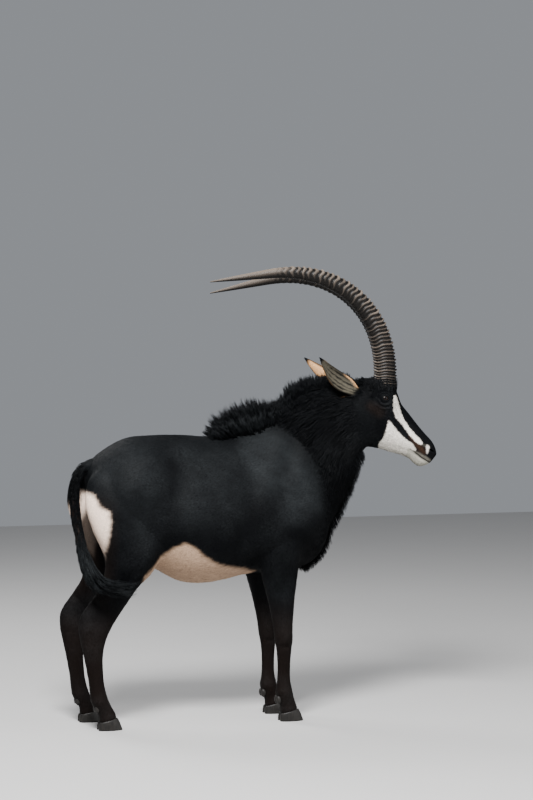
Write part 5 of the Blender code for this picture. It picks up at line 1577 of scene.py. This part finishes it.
class EyeSettings(bpy.types.PropertyGroup):
    """Colours of the eyes."""

    iris: FloatVectorProperty(
        name="Iris", description="Colour of the iris", subtype="COLOR", default=(0.010, 0.0055, 0.003)
    )
    pupil: FloatVectorProperty(
        name="Pupil", description="Colour of the pupil", subtype="COLOR", default=(0.002, 0.002, 0.003)
    )
    white: FloatVectorProperty(
        name="White of the eye", description="Colour round the iris", subtype="COLOR",
        default=(0.012, 0.009, 0.008),
    )


class StageSettings(bpy.types.PropertyGroup):
    """The camera's place, the floor and the lights."""

    azimuth: FloatProperty(
        name="Azimuth", description="How far behind the right flank the camera stands", subtype="ANGLE",
        default=math.radians(16),
    )
    elevation: FloatProperty(
        name="Elevation", description="Height of the camera above the horizon", subtype="ANGLE",
        default=math.radians(3),
    )
    distance: FloatProperty(
        name="Distance", description="From the camera to the neck", unit="LENGTH", default=12.0
    )
    lens: FloatProperty(name="Lens", description="Focal length", default=117.4)
    floor: FloatVectorProperty(
        name="Floor", description="Colour of the floor", subtype="COLOR", default=(0.42, 0.415, 0.41)
    )
    key_power: FloatProperty(
        name="Key light", description="Power of the main light", unit="POWER", default=1080.0
    )
    fill_power: FloatProperty(
        name="Fill light", description="Power of the fill light", unit="POWER", default=150.0
    )
    sky: FloatProperty(name="Sky", description="Strength of the pale surroundings", default=0.34)


class ANTELOPE_OT_skin(bpy.types.Operator):
    """Make the skin of the trunk, legs, neck, head, ears and tail as one closed surface."""

    bl_idname = "antelope.skin"
    bl_label = "Skin"

    def execute(self, context):
        coat = context.scene.antelope_coat
        body, head = make_body(), make_head()
        point, normal = head_plane()
        cut(body, point + normal * HEAD_OVERLAP, normal)
        tail = tube("tail", line_rings(np.linspace(0.03, 1.0, 70), TAIL_LINE, TAIL_RADII, 24))
        boolean(body, [head, tail], "UNION")
        points = array_of(body.data.vertices, "co")
        away = np.abs((points - point) @ normal)
        near_neck = np.clip(1.4 - away / 0.035, 0, 1) * (points[:, 0] > 0.5)
        root = distance(points, np.array(TAIL_LINE[1]))
        soften(body, np.maximum(near_neck, np.clip(1.5 - root / 0.04, 0, 1)), 12)
        body.name = "skin"
        paint(body, "coat_colour", marking(array_of(body.data.vertices, "co"), coat))
        body.data.transform(Matrix.Translation(SHIFT))
        dress(body, skin_look(coat))
        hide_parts(*FLESH)
        print("skin triangles", sum(len(p.vertices) - 2 for p in body.data.polygons))
        return leave(len(body.data.polygons) > 1000)


class ANTELOPE_OT_short_coat(bpy.types.Operator):
    """Make the short hair of the body, legs, head and ears, in flat tufts that follow the coat's lie."""

    bl_idname = "antelope.short_coat"
    bl_label = "Short coat"

    def execute(self, context):
        coat = context.scene.antelope_coat
        skin = skin_in_own_frame()
        look = hair_look("short hair", coat.roughness, coat.gloss)
        for name, weight, length, width, rise, seed in short_pieces(coat):
            draw = np.random.default_rng(seed)
            roots, normals = scatter(skin, tufts(name, coat), weight, draw)
            lie = (ear_way if name == "coat_ears" else lie_of)(roots, normals)
            lie = strayed(lie, normals, 0.16, draw)
            size = draw.uniform(0.75, 1.25, len(roots))
            long = length(roots) * size
            lift = rise(roots) * draw.uniform(0.5, 1.5, len(roots))
            tips = roots + lifted(lie, normals, lift) * long[:, None]
            bend = normals * (-0.10 * long)[:, None]
            colours = marking((roots + tips) / 2, coat) * draw.uniform(0.70, 1.30, (len(roots), 1))
            wide = width(roots) * draw.uniform(0.8, 1.2, len(roots))
            sunk = roots - normals * 0.0008
            hair(name, sunk, tips, bend, normals, wide, wide * 0.22, 2, colours, look, even=0.7)
        remove(skin)
        return leave(True)


class ANTELOPE_OT_long_hair(bpy.types.Operator):
    """Make the mane, the hair on the sides of the neck and the throat, and the tuft of the tail."""

    bl_idname = "antelope.long_hair"
    bl_label = "Long hair"

    def execute(self, context):
        coat = context.scene.antelope_coat
        skin = skin_in_own_frame()
        look = hair_look("long hair", 0.5, coat.gloss * 1.2)
        for grow in (grow_mane, grow_neck, grow_throat, grow_tail, grow_poll):
            grow(skin, coat, look)
        remove(skin)
        return leave(True)


class ANTELOPE_OT_horns(bpy.types.Operator):
    """Make both ringed horns."""

    bl_idname = "antelope.horns"
    bl_label = "Horns"

    def execute(self, context):
        horns = context.scene.antelope_horns
        look = horn_look(horns)
        made = [make_horn(side, sign, horns, look) for side, sign in SIDES]
        return leave(len(made) == 2)


class ANTELOPE_OT_eyes(bpy.types.Operator):
    """Make both eyes."""

    bl_idname = "antelope.eyes"
    bl_label = "Eyes"

    def execute(self, context):
        eyes = context.scene.antelope_eyes
        look = eye_look()
        for side, sign in SIDES:
            points, pupil, iris = eye_grid(sign)
            eye = tube(f"eyeball_{side}", points + SHIFT)
            colours = np.tile(np.asarray(eyes.white, float), (len(pupil), 1))
            colours = blend(blend(colours, eyes.iris, iris), eyes.pupil, pupil)
            paint(eye, "eye_colour", colours)
            dress(eye, look)
            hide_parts(f"eye_{side}")
        return leave(True)


class ANTELOPE_OT_hooves(bpy.types.Operator):
    """Make the claws and dewclaws of the four feet."""

    bl_idname = "antelope.hooves"
    bl_label = "Hooves"

    def execute(self, context):
        look = hoof_look(context.scene.antelope_feet)
        made = [make_hooves(kind, side, sign, look) for side, sign in SIDES for kind in ("fore", "hind")]
        return leave(len(made) == 4)


class ANTELOPE_OT_stage(bpy.types.Operator):
    """Make the floor, the lights and the camera."""

    bl_idname = "antelope.stage"
    bl_label = "Stage"

    def execute(self, context):
        stage = context.scene.antelope_stage
        scene = context.scene
        corners = [(x * FLOOR_HALF, y * FLOOR_HALF, 0) for x, y in ((-1, -1), (1, -1), (1, 1), (-1, 1))]
        floor = new_object("floor", corners, [(0, 1, 2, 3)])
        look, tree, shader = new_look("pale floor", 0.8, Specular_IOR_Level=0.2)
        grain = noise(tree, own_place(tree), (-700, 0), 3.0, 3.0)
        colour = ramped(tree, grain, ([value * 0.97 for value in stage.floor], stage.floor))
        tree.links.new(colour, shader.inputs["Base Color"])
        floor.data.materials.append(look)
        world = bpy.data.worlds.new("pale surroundings")
        world.use_nodes = True
        world.node_tree.nodes["Background"].inputs["Color"].default_value = SKY_COLOUR
        world.node_tree.nodes["Background"].inputs["Strength"].default_value = stage.sky
        scene.world = world
        for name, place, aim, power, size in (
            ("key", (-1.7, -3.6, 4.9), (0.1, 0, 1.1), stage.key_power, 1.6),
            ("fill", (3.6, -3.4, 2.0), (0.2, 0, 1.1), stage.fill_power, 3.5),
            ("rim", (-2.2, 3.4, 4.6), (0.1, 0, 1.2), stage.key_power * RIM_SHARE, 2.0),
        ):
            lamp = bpy.data.lights.new(name, "AREA")
            lamp.energy = power
            lamp.size = size
            light = placed(name, lamp)
            light.location = place
            light.rotation_euler = (Vector(aim) - Vector(place)).to_track_quat("-Z", "Y").to_euler()
        lens = bpy.data.cameras.new("camera")
        lens.lens = stage.lens
        lens.sensor_width = SENSOR_WIDTH
        lens.clip_end = 100
        camera = placed("camera", lens)
        az, el = stage.azimuth, stage.elevation
        look_along = Vector((math.sin(az) * math.cos(el), math.cos(az) * math.cos(el), -math.sin(el)))
        camera.location = Vector(CAMERA_AIM) + Vector(SHIFT) - look_along * stage.distance
        camera.rotation_euler = look_along.to_track_quat("-Z", "Y").to_euler()
        scene.camera = camera
        return leave(True)


def skin_in_own_frame():
    """A copy of the skin in the builder's frame, to set hair on."""
    mesh = bpy.data.objects["skin"].data.copy()
    mesh.transform(Matrix.Translation(-Vector(SHIFT)))
    return placed("bare skin", mesh)


def remove(obj):
    """Takes an object and its mesh out of the scene."""
    mesh = obj.data
    bpy.data.objects.remove(obj)
    bpy.data.meshes.remove(mesh)


def on_head(points):
    """0 behind the plane that parts head and neck, rising to 1 within 3 cm before it."""
    point, normal = head_plane()
    return smoothstep((points - point) @ normal, 0.0, 0.03)


def away_from_eyes(points):
    """1 on open skin and 0 on the eyelids, in the eye sockets, the nostrils and the mouth."""
    clear = np.ones(len(points))
    for _, sign in SIDES:
        centre, looking, long_way, short_way = eye_axes(sign)
        offset = points - centre
        eye = np.linalg.norm(offset, axis=1)
        ahead = np.maximum(offset @ looking, 0.003)
        opening = np.hypot(offset @ long_way / ahead / EYE_WIDE, offset @ short_way / ahead / EYE_TALL)
        clear *= smoothstep(eye, *LID_EDGE) * np.where(eye < 0.033, smoothstep(opening, 1.25, 1.7), 1)
        nostril = turned(mirrored(NOSTRIL_CENTRE, sign), 1.0)
        clear *= smoothstep(distance(points, nostril), 0.010, 0.020)
    return clear * smoothstep(distance(points, turned(np.array(NOSE), 1.0)), 0.018, 0.034)


def short_pieces(coat):
    """Each piece of short coat: name, where it grows, length, width, lift, and its own seed."""

    def trunk(points, normals):
        body = (1 - on_head(points)) * not_ear(points) * (tail_distance(points) > TAIL_CLEARANCE)
        return body * smoothstep(points[:, 2], *COAT_SEAM)

    def rear(points, normals):
        return trunk(points, normals) * (points[:, 0] < 0.10)

    def fore(points, normals):
        return trunk(points, normals) * (points[:, 0] >= 0.10)

    def shanks(points, normals):
        seam = smoothstep(-points[:, 2], -COAT_SEAM[1], -COAT_SEAM[0])
        low = 0.30 * seam + 0.70 * smoothstep(-points[:, 2], -0.52, -0.30)
        return low * (points[:, 2] > 0.045) * (tail_distance(points) > TAIL_CLEARANCE)

    def face(points, normals):
        muzzle = smoothstep(unturned(points, 1.0)[:, 0], 0.95, 1.10)
        return on_head(points) * away_from_eyes(points) * (1 + 1.6 * muzzle) * not_ear(points)

    def ears(points, normals):
        return (points[:, 2] > 1.46) * (1 - not_ear(points))

    def body_long(points):
        belly = smoothstep(-points[:, 2], -0.85, -0.68) * smoothstep(points[:, 2], 0.58, 0.66)
        return coat.body_length * (0.8 + 0.6 * belly)

    def shank_long(points):
        return coat.body_length * (0.35 + 0.45 * smoothstep(points[:, 2], 0.10, 0.55))

    def face_long(points):
        muzzle = smoothstep(unturned(points, 1.0)[:, 0], 0.92, 1.12)
        eye = np.minimum(*(distance(points, eye_frame(sign)[0]) for _, sign in SIDES))
        return coat.face_length * (1.5 - 1.05 * muzzle) * (0.36 + 0.64 * smoothstep(eye, 0.028, 0.062))

    def even(value):
        return lambda points: np.full(len(points), value)

    return (
        ("coat_rear", rear, body_long, even(0.0018), even(0.08), 11),
        ("coat_fore", fore, body_long, even(0.0018), even(0.08), 12),
        ("coat_legs", shanks, shank_long, lambda points: shank_long(points) * 0.15, even(0.08), 13),
        ("coat_face", face, face_long, lambda points: face_long(points) * 0.22, even(0.16), 14),
        ("coat_ears", ears, even(EAR_HAIR), even(0.0010), even(0.12), 15),
    )


def not_ear(points):
    """0 on the ears and 1 elsewhere, by the distance from each ear's axis."""
    straight = unturned(points, 1.0)
    clear = np.ones(len(points))
    for side, sign in SIDES:
        base, _, axis, *_ = ear_axes(side, sign)
        offset = straight - base
        at = offset @ axis
        away = np.linalg.norm(offset - at[:, None] * axis, axis=1)
        clear *= 1 - (at > 0.004) * (away < EAR_CLEARANCE)
    return clear


def tufts(name, coat):
    """A piece's full number of tufts times the density."""
    return int(TUFTS[name] * coat.density)


def strayed(lie, normals, amount, draw):
    """Each hair's lie turned a little sideways on the skin, by a normal draw."""
    return unit(lie + np.cross(lie, normals) * draw.normal(0, amount, (len(lie), 1)))


def lifted(lie, normals, lift):
    """The lie tilted up from the skin: lie times the cosine plus normal times the sine of the lift."""
    return lie * np.cos(lift)[:, None] + normals * np.sin(lift)[:, None]


def locks(name, roots, normals, tips, bend, coat, look, draw, shades, share, rings, even=0.0):
    """Long tufts in the coat's own colours, of uneven shade and width, rooted just under the skin."""
    colours = marking(roots, coat) * draw.uniform(*shades, (len(roots), 1))
    wide = coat.mane_width * share * draw.uniform(0.7, 1.2, len(roots))
    sunk = roots - normals * 0.001
    hair(name, sunk, tips, bend, normals, wide, wide * 0.3, rings, colours, look, 1.1, even)


MANE_PLACES = (0.10, 0.165, 0.24, 0.33, 0.40, 0.46, 0.49, 0.545, 0.625, 0.70, 0.765, 0.80, 0.835)
MANE_LENGTHS = (0.042, 0.092, 0.100, 0.096, 0.070, 0.062, 0.092, 0.081, 0.069, 0.062, 0.050, 0.032, 0.016)
MANE_LEANS = (75, 54, 36, 20, 13, 12, 14, 16, 16, 18, 28, 44, 66)
# The front of the neck, and the fringe's length, by height.
NECK_FRONT = ((0.66, 0.80, 0.90, 1.02, 1.14, 1.24), (0.53, 0.62, 0.69, 0.74, 0.78, 0.82))
THROAT_LENGTHS = ((0.72, 0.85, 1.05, 1.20, 1.25), (0.036, 0.046, 0.056, 0.054, 0.034))
# The edge of the long hair on the neck, seen from the side.
NECK_HAIR = (
    (0.100, 1.300), (0.225, 1.345), (0.334, 1.362), (0.420, 1.352), (0.490, 1.303), (0.540, 1.234),
    (0.576, 1.155), (0.598, 1.063), (0.602, 0.960), (0.588, 0.860), (0.560, 0.770), (0.600, 0.690),
    (0.720, 0.820), (0.800, 0.980), (0.830, 1.170),
    (0.795, 1.300), (0.770, 1.420), (0.790, 1.500), (0.800, 1.600), (0.500, 1.600), (0.080, 1.400),
)


def grow_mane(skin, coat, look):
    """Hair that stands on the withers and the crest: leaning by a table, spread sideways, in locks."""

    def weight(points, normals):
        straight = unturned(points, turn_share(points))
        top = smoothstep(-np.abs(straight[:, 1]), -0.050, -0.020) * smoothstep(normals[:, 2], 0.15, 0.55)
        along = smoothstep(straight[:, 0], 0.09, 0.16) * smoothstep(-straight[:, 0], -0.835, -0.80)
        return top * along * (points[:, 2] > 1.26)

    draw = np.random.default_rng(21)
    roots, normals = scatter(skin, tufts("mane", coat), weight, draw)
    straight = unturned(roots, turn_share(roots))
    lean = np.radians(np.interp(straight[:, 0], MANE_PLACES, MANE_LEANS) + draw.normal(0, 10, len(roots)))
    angle = HEAD_YAW * turn_share(roots)
    side = straight[:, 1] / 0.045 * 0.42 + draw.normal(0, 0.12, len(roots))
    way = np.stack((-np.sin(lean) * np.cos(angle), side - np.sin(lean) * np.sin(angle), np.cos(lean)), -1)
    long = np.interp(straight[:, 0], MANE_PLACES, MANE_LENGTHS) * draw.uniform(0.55, 1.14, len(roots))
    tips = gather(roots, roots + unit(way) * long[:, None], 1600, 0.75, draw)
    bend = np.stack((0.10 * long, -side * 0.15 * long, 0.08 * long), -1)
    colours = marking(roots, coat) * draw.uniform(0.7, 1.35, (len(roots), 1))
    wide = coat.mane_width * 0.75 * draw.uniform(0.7, 1.2, len(roots))
    out = np.tile((0.0, 1.0, 0.0), (len(roots), 1)) * np.sign(draw.uniform(-1, 1, (len(roots), 1)))
    hair("mane", roots - normals * 0.002, tips, bend, out, wide, wide * 0.35, 3, colours, look, 1.15)


def grow_neck(skin, coat, look):
    """Tousled hair on the sides of the neck, lying down and back and shorter towards the chest."""

    def weight(points, normals):
        flat = points[:, [0, 2]]
        deep = 0.35 + 0.65 * inside(flat, NECK_HAIR, 0.110)
        return deep * inside(flat, NECK_HAIR, 0.030) * not_ear(points)

    draw = np.random.default_rng(22)
    roots, normals = scatter(skin, tufts("neck_hair", coat), weight, draw)
    lie = strayed(lie_of(roots, normals), normals, 0.13, draw)
    deep = np.clip(2 * inside(roots[:, [0, 2]], NECK_HAIR, 0.110) - 1, 0, 1)
    share = deep * smoothstep(roots[:, 2], 0.85, 1.2)
    long = (0.017 + 0.066 * share) * draw.uniform(0.7, 1.2, len(roots))
    lift = np.radians(6 + 14 * share) * draw.uniform(0.5, 1.5, len(roots))
    tips = gather(roots, roots + lifted(lie, normals, lift) * long[:, None], 1500, 0.35, draw)
    bend = normals * (-0.30 * long)[:, None]
    locks("neck_hair", roots, normals, tips, bend, coat, look, draw, (0.7, 1.35), 1.0, 3, 0.45)


def grow_throat(skin, coat, look):
    """The fringe down the front of the neck, hanging down and forwards."""

    def weight(points, normals):
        straight = unturned(points, turn_share(points))
        ahead = smoothstep(straight[:, 0] - np.interp(straight[:, 2], *NECK_FRONT), -0.05, 0.0)
        near = ahead * smoothstep(-np.abs(straight[:, 1]), -0.07, -0.02)
        return near * (straight[:, 2] < 1.235) * (straight[:, 2] > 0.70) * (straight[:, 0] < 0.84)

    draw = np.random.default_rng(23)
    roots, normals = scatter(skin, tufts("throat_hair", coat), weight, draw)
    straight = unturned(roots, turn_share(roots))
    down = np.stack((0.10 + 0 * roots[:, 0], draw.normal(0, 0.12, len(roots)), -1 + 0 * roots[:, 0]), -1)
    way = unit(unit(down) + normals * draw.uniform(0.35, 0.75, (len(roots), 1)))
    long = np.interp(straight[:, 2], *THROAT_LENGTHS) * draw.uniform(0.7, 1.15, len(roots))
    tips = gather(roots, roots + way * long[:, None], 260, 0.5, draw)
    bend = normals * (-0.28 * long)[:, None]
    locks("throat_hair", roots, normals, tips, bend, coat, look, draw, (0.7, 1.3), 0.85, 4)


def grow_poll(skin, coat, look):
    """Dense short hair that stands round the bases of the horns and lies back over the poll."""

    def by_horn(points):
        straight = unturned(points, 1.0)
        away = np.full(len(points), 9.0)
        for _, sign in SIDES:
            base = np.array((HORN_BASE[0], sign * HORN_SPACING / 2, 0.0))
            flat = (straight - base)[:, :2] / (HORN_DEEP, HORN_WIDE)
            away = np.minimum(away, np.linalg.norm(flat, axis=1))
        return away

    def weight(points, normals):
        straight = unturned(points, 1.0)
        away = by_horn(points)
        near = smoothstep(-away, -0.068, -0.052) * (away > 0.036)
        poll = smoothstep(straight[:, 0], 0.79, 0.82) * (straight[:, 0] < 0.90)
        grown = 3.0 * near + 0.8 * (poll * (np.abs(straight[:, 1]) < 0.055))
        return grown * (straight[:, 2] > 1.500) * (normals[:, 2] > 0.05) * not_ear(points)

    draw = np.random.default_rng(25)
    roots, normals = scatter(skin, tufts("poll_hair", coat), weight, draw)
    near = smoothstep(-by_horn(roots), -0.066, -0.050)[:, None]
    back = np.array((-math.cos(HEAD_YAW), -math.sin(HEAD_YAW), 0.10))
    lying = unit(back + normals * 0.25)
    ahead = smoothstep(unturned(roots, 1.0)[:, 0] - HORN_BASE[0], -0.02, 0.03)
    standing = np.stack((0.20 * ahead - 0.18, 0 * ahead, 1 + 0 * ahead), -1)
    way = unit(lying * (1 - near) + standing * near)
    way = unit(way + draw.normal(0, 0.07, (len(roots), 3)))
    rise = np.clip(1.574 + 0.006 * ahead - roots[:, 2], 0.010, 0.062)
    long = (0.016 * (1 - near[:, 0]) + rise * near[:, 0]) * draw.uniform(0.65, 1.15, len(roots))
    tips = roots + way * long[:, None]
    bend = normals * (-0.12 * long)[:, None]
    locks("poll_hair", roots, normals, tips, bend, coat, look, draw, (0.7, 1.3), 0.8, 3, 0.4)


def grow_tail(skin, coat, look):
    """The tail's short hair and the long tuft at its end, in locks that hang with a slight sweep, the tuft
    with a painted grey sheen.
    """
    draw = np.random.default_rng(24)
    count = tufts("tail_hair", coat)
    at = 0.10 + 0.84 * draw.random(count) ** 0.74
    centre, way, side, across = along_line(TAIL_LINE, at)
    angle = draw.uniform(0, 2 * np.pi, (count, 1))
    out = side * np.cos(angle) + across * np.sin(angle)
    radius = np.interp(at, np.linspace(0, 1, len(TAIL_RADII)), TAIL_RADII)[:, None]
    roots = centre + out * (radius - 0.001)
    tuft = smoothstep(at, TUFT_START - 0.06, TUFT_START + 0.12)
    long = 0.026 + (0.100 * tuft + 0.030 * smoothstep(at, 0.8, 1.0)) * draw.uniform(0.55, 1.15, count)
    spread_out = np.where(tuft > 0.3, 0.17, 0.22)[:, None] * draw.uniform(0.3, 1.4, (count, 1))
    end = smoothstep(at, 0.66, 0.95)[:, None]
    heading = unit(way + out * spread_out + np.array((0.06, 0.03, 0.46)) * end)
    tips = gather(roots, roots + heading * long[:, None], 240, 0.45, draw)
    bend = -out * (0.20 * long)[:, None] + np.array((0.0, 0.0, 0.55)) * long[:, None] * end
    colours = np.tile(np.asarray(coat.black, float), (count, 1)) * draw.uniform(0.7, 1.4, (count, 1))
    # Painted sheen: grey added at random to the tuft's hairs.
    colours = colours + np.asarray(coat.sheen, float) * 2.4 * (tuft * draw.random(count) ** 2)[:, None]
    wide = np.where(tuft > 0.5, coat.mane_width, coat.mane_width * 0.8) * draw.uniform(0.7, 1.2, count)
    hair("tail_hair", roots, tips, bend, out, wide, wide * 0.3, 4, colours, look, 1.1)


class ANTELOPE_PT_panel(bpy.types.Panel):
    """The steps that make the antelope, and its main settings."""

    bl_idname = "ANTELOPE_PT_panel"
    bl_label = "Sable antelope"
    bl_space_type = "VIEW_3D"
    bl_region_type = "UI"
    bl_category = "Antelope"

    def draw(self, context):
        for step in STEPS:
            self.layout.operator(step.bl_idname)
        for holder in GROUPS:
            box = self.layout.box()
            settings = getattr(context.scene, holder)
            for name in settings.bl_rna.properties.keys():
                if name not in ("rna_type", "name"):
                    box.prop(settings, name)


STEPS = (
    ANTELOPE_OT_stage,
    ANTELOPE_OT_skin,
    ANTELOPE_OT_short_coat,
    ANTELOPE_OT_long_hair,
    ANTELOPE_OT_horns,
    ANTELOPE_OT_eyes,
    ANTELOPE_OT_hooves,
)
GROUPS = {
    "antelope_coat": CoatSettings,
    "antelope_horns": HornSettings,
    "antelope_feet": FootSettings,
    "antelope_eyes": EyeSettings,
    "antelope_stage": StageSettings,
}
FLESH = ["torso", "neck", "head", "ear_left", "ear_right", "tail_dock", "tail_tuft"] + [
    f"{kind}leg_{side}_{part}"
    for kind in ("fore", "hind")
    for side, _ in SIDES
    for part in ("upper", "cannon", "foot")
]


def solids_shift():
    """How far the solids stand from the builder's frame, by the middle of the right eye's box."""
    low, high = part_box("eye_right")
    return tuple((np.asarray(low, float) + np.asarray(high, float)) / 2 - eye_frame(-1.0)[0])


SHIFT = solids_shift()


def register():
    for holder, kind in GROUPS.items():
        bpy.utils.register_class(kind)
        setattr(bpy.types.Scene, holder, PointerProperty(type=kind))
    for kind in (*STEPS, ANTELOPE_PT_panel):
        bpy.utils.register_class(kind)


def unregister():
    for kind in (ANTELOPE_PT_panel, *reversed(STEPS)):
        bpy.utils.unregister_class(kind)
    for holder, kind in reversed(GROUPS.items()):
        delattr(bpy.types.Scene, holder)
        bpy.utils.unregister_class(kind)


def main():
    register()
    for step in STEPS:
        group, name = step.bl_idname.split(".")
        getattr(getattr(bpy.ops, group), name)()


if __name__ == "__main__":
    main()
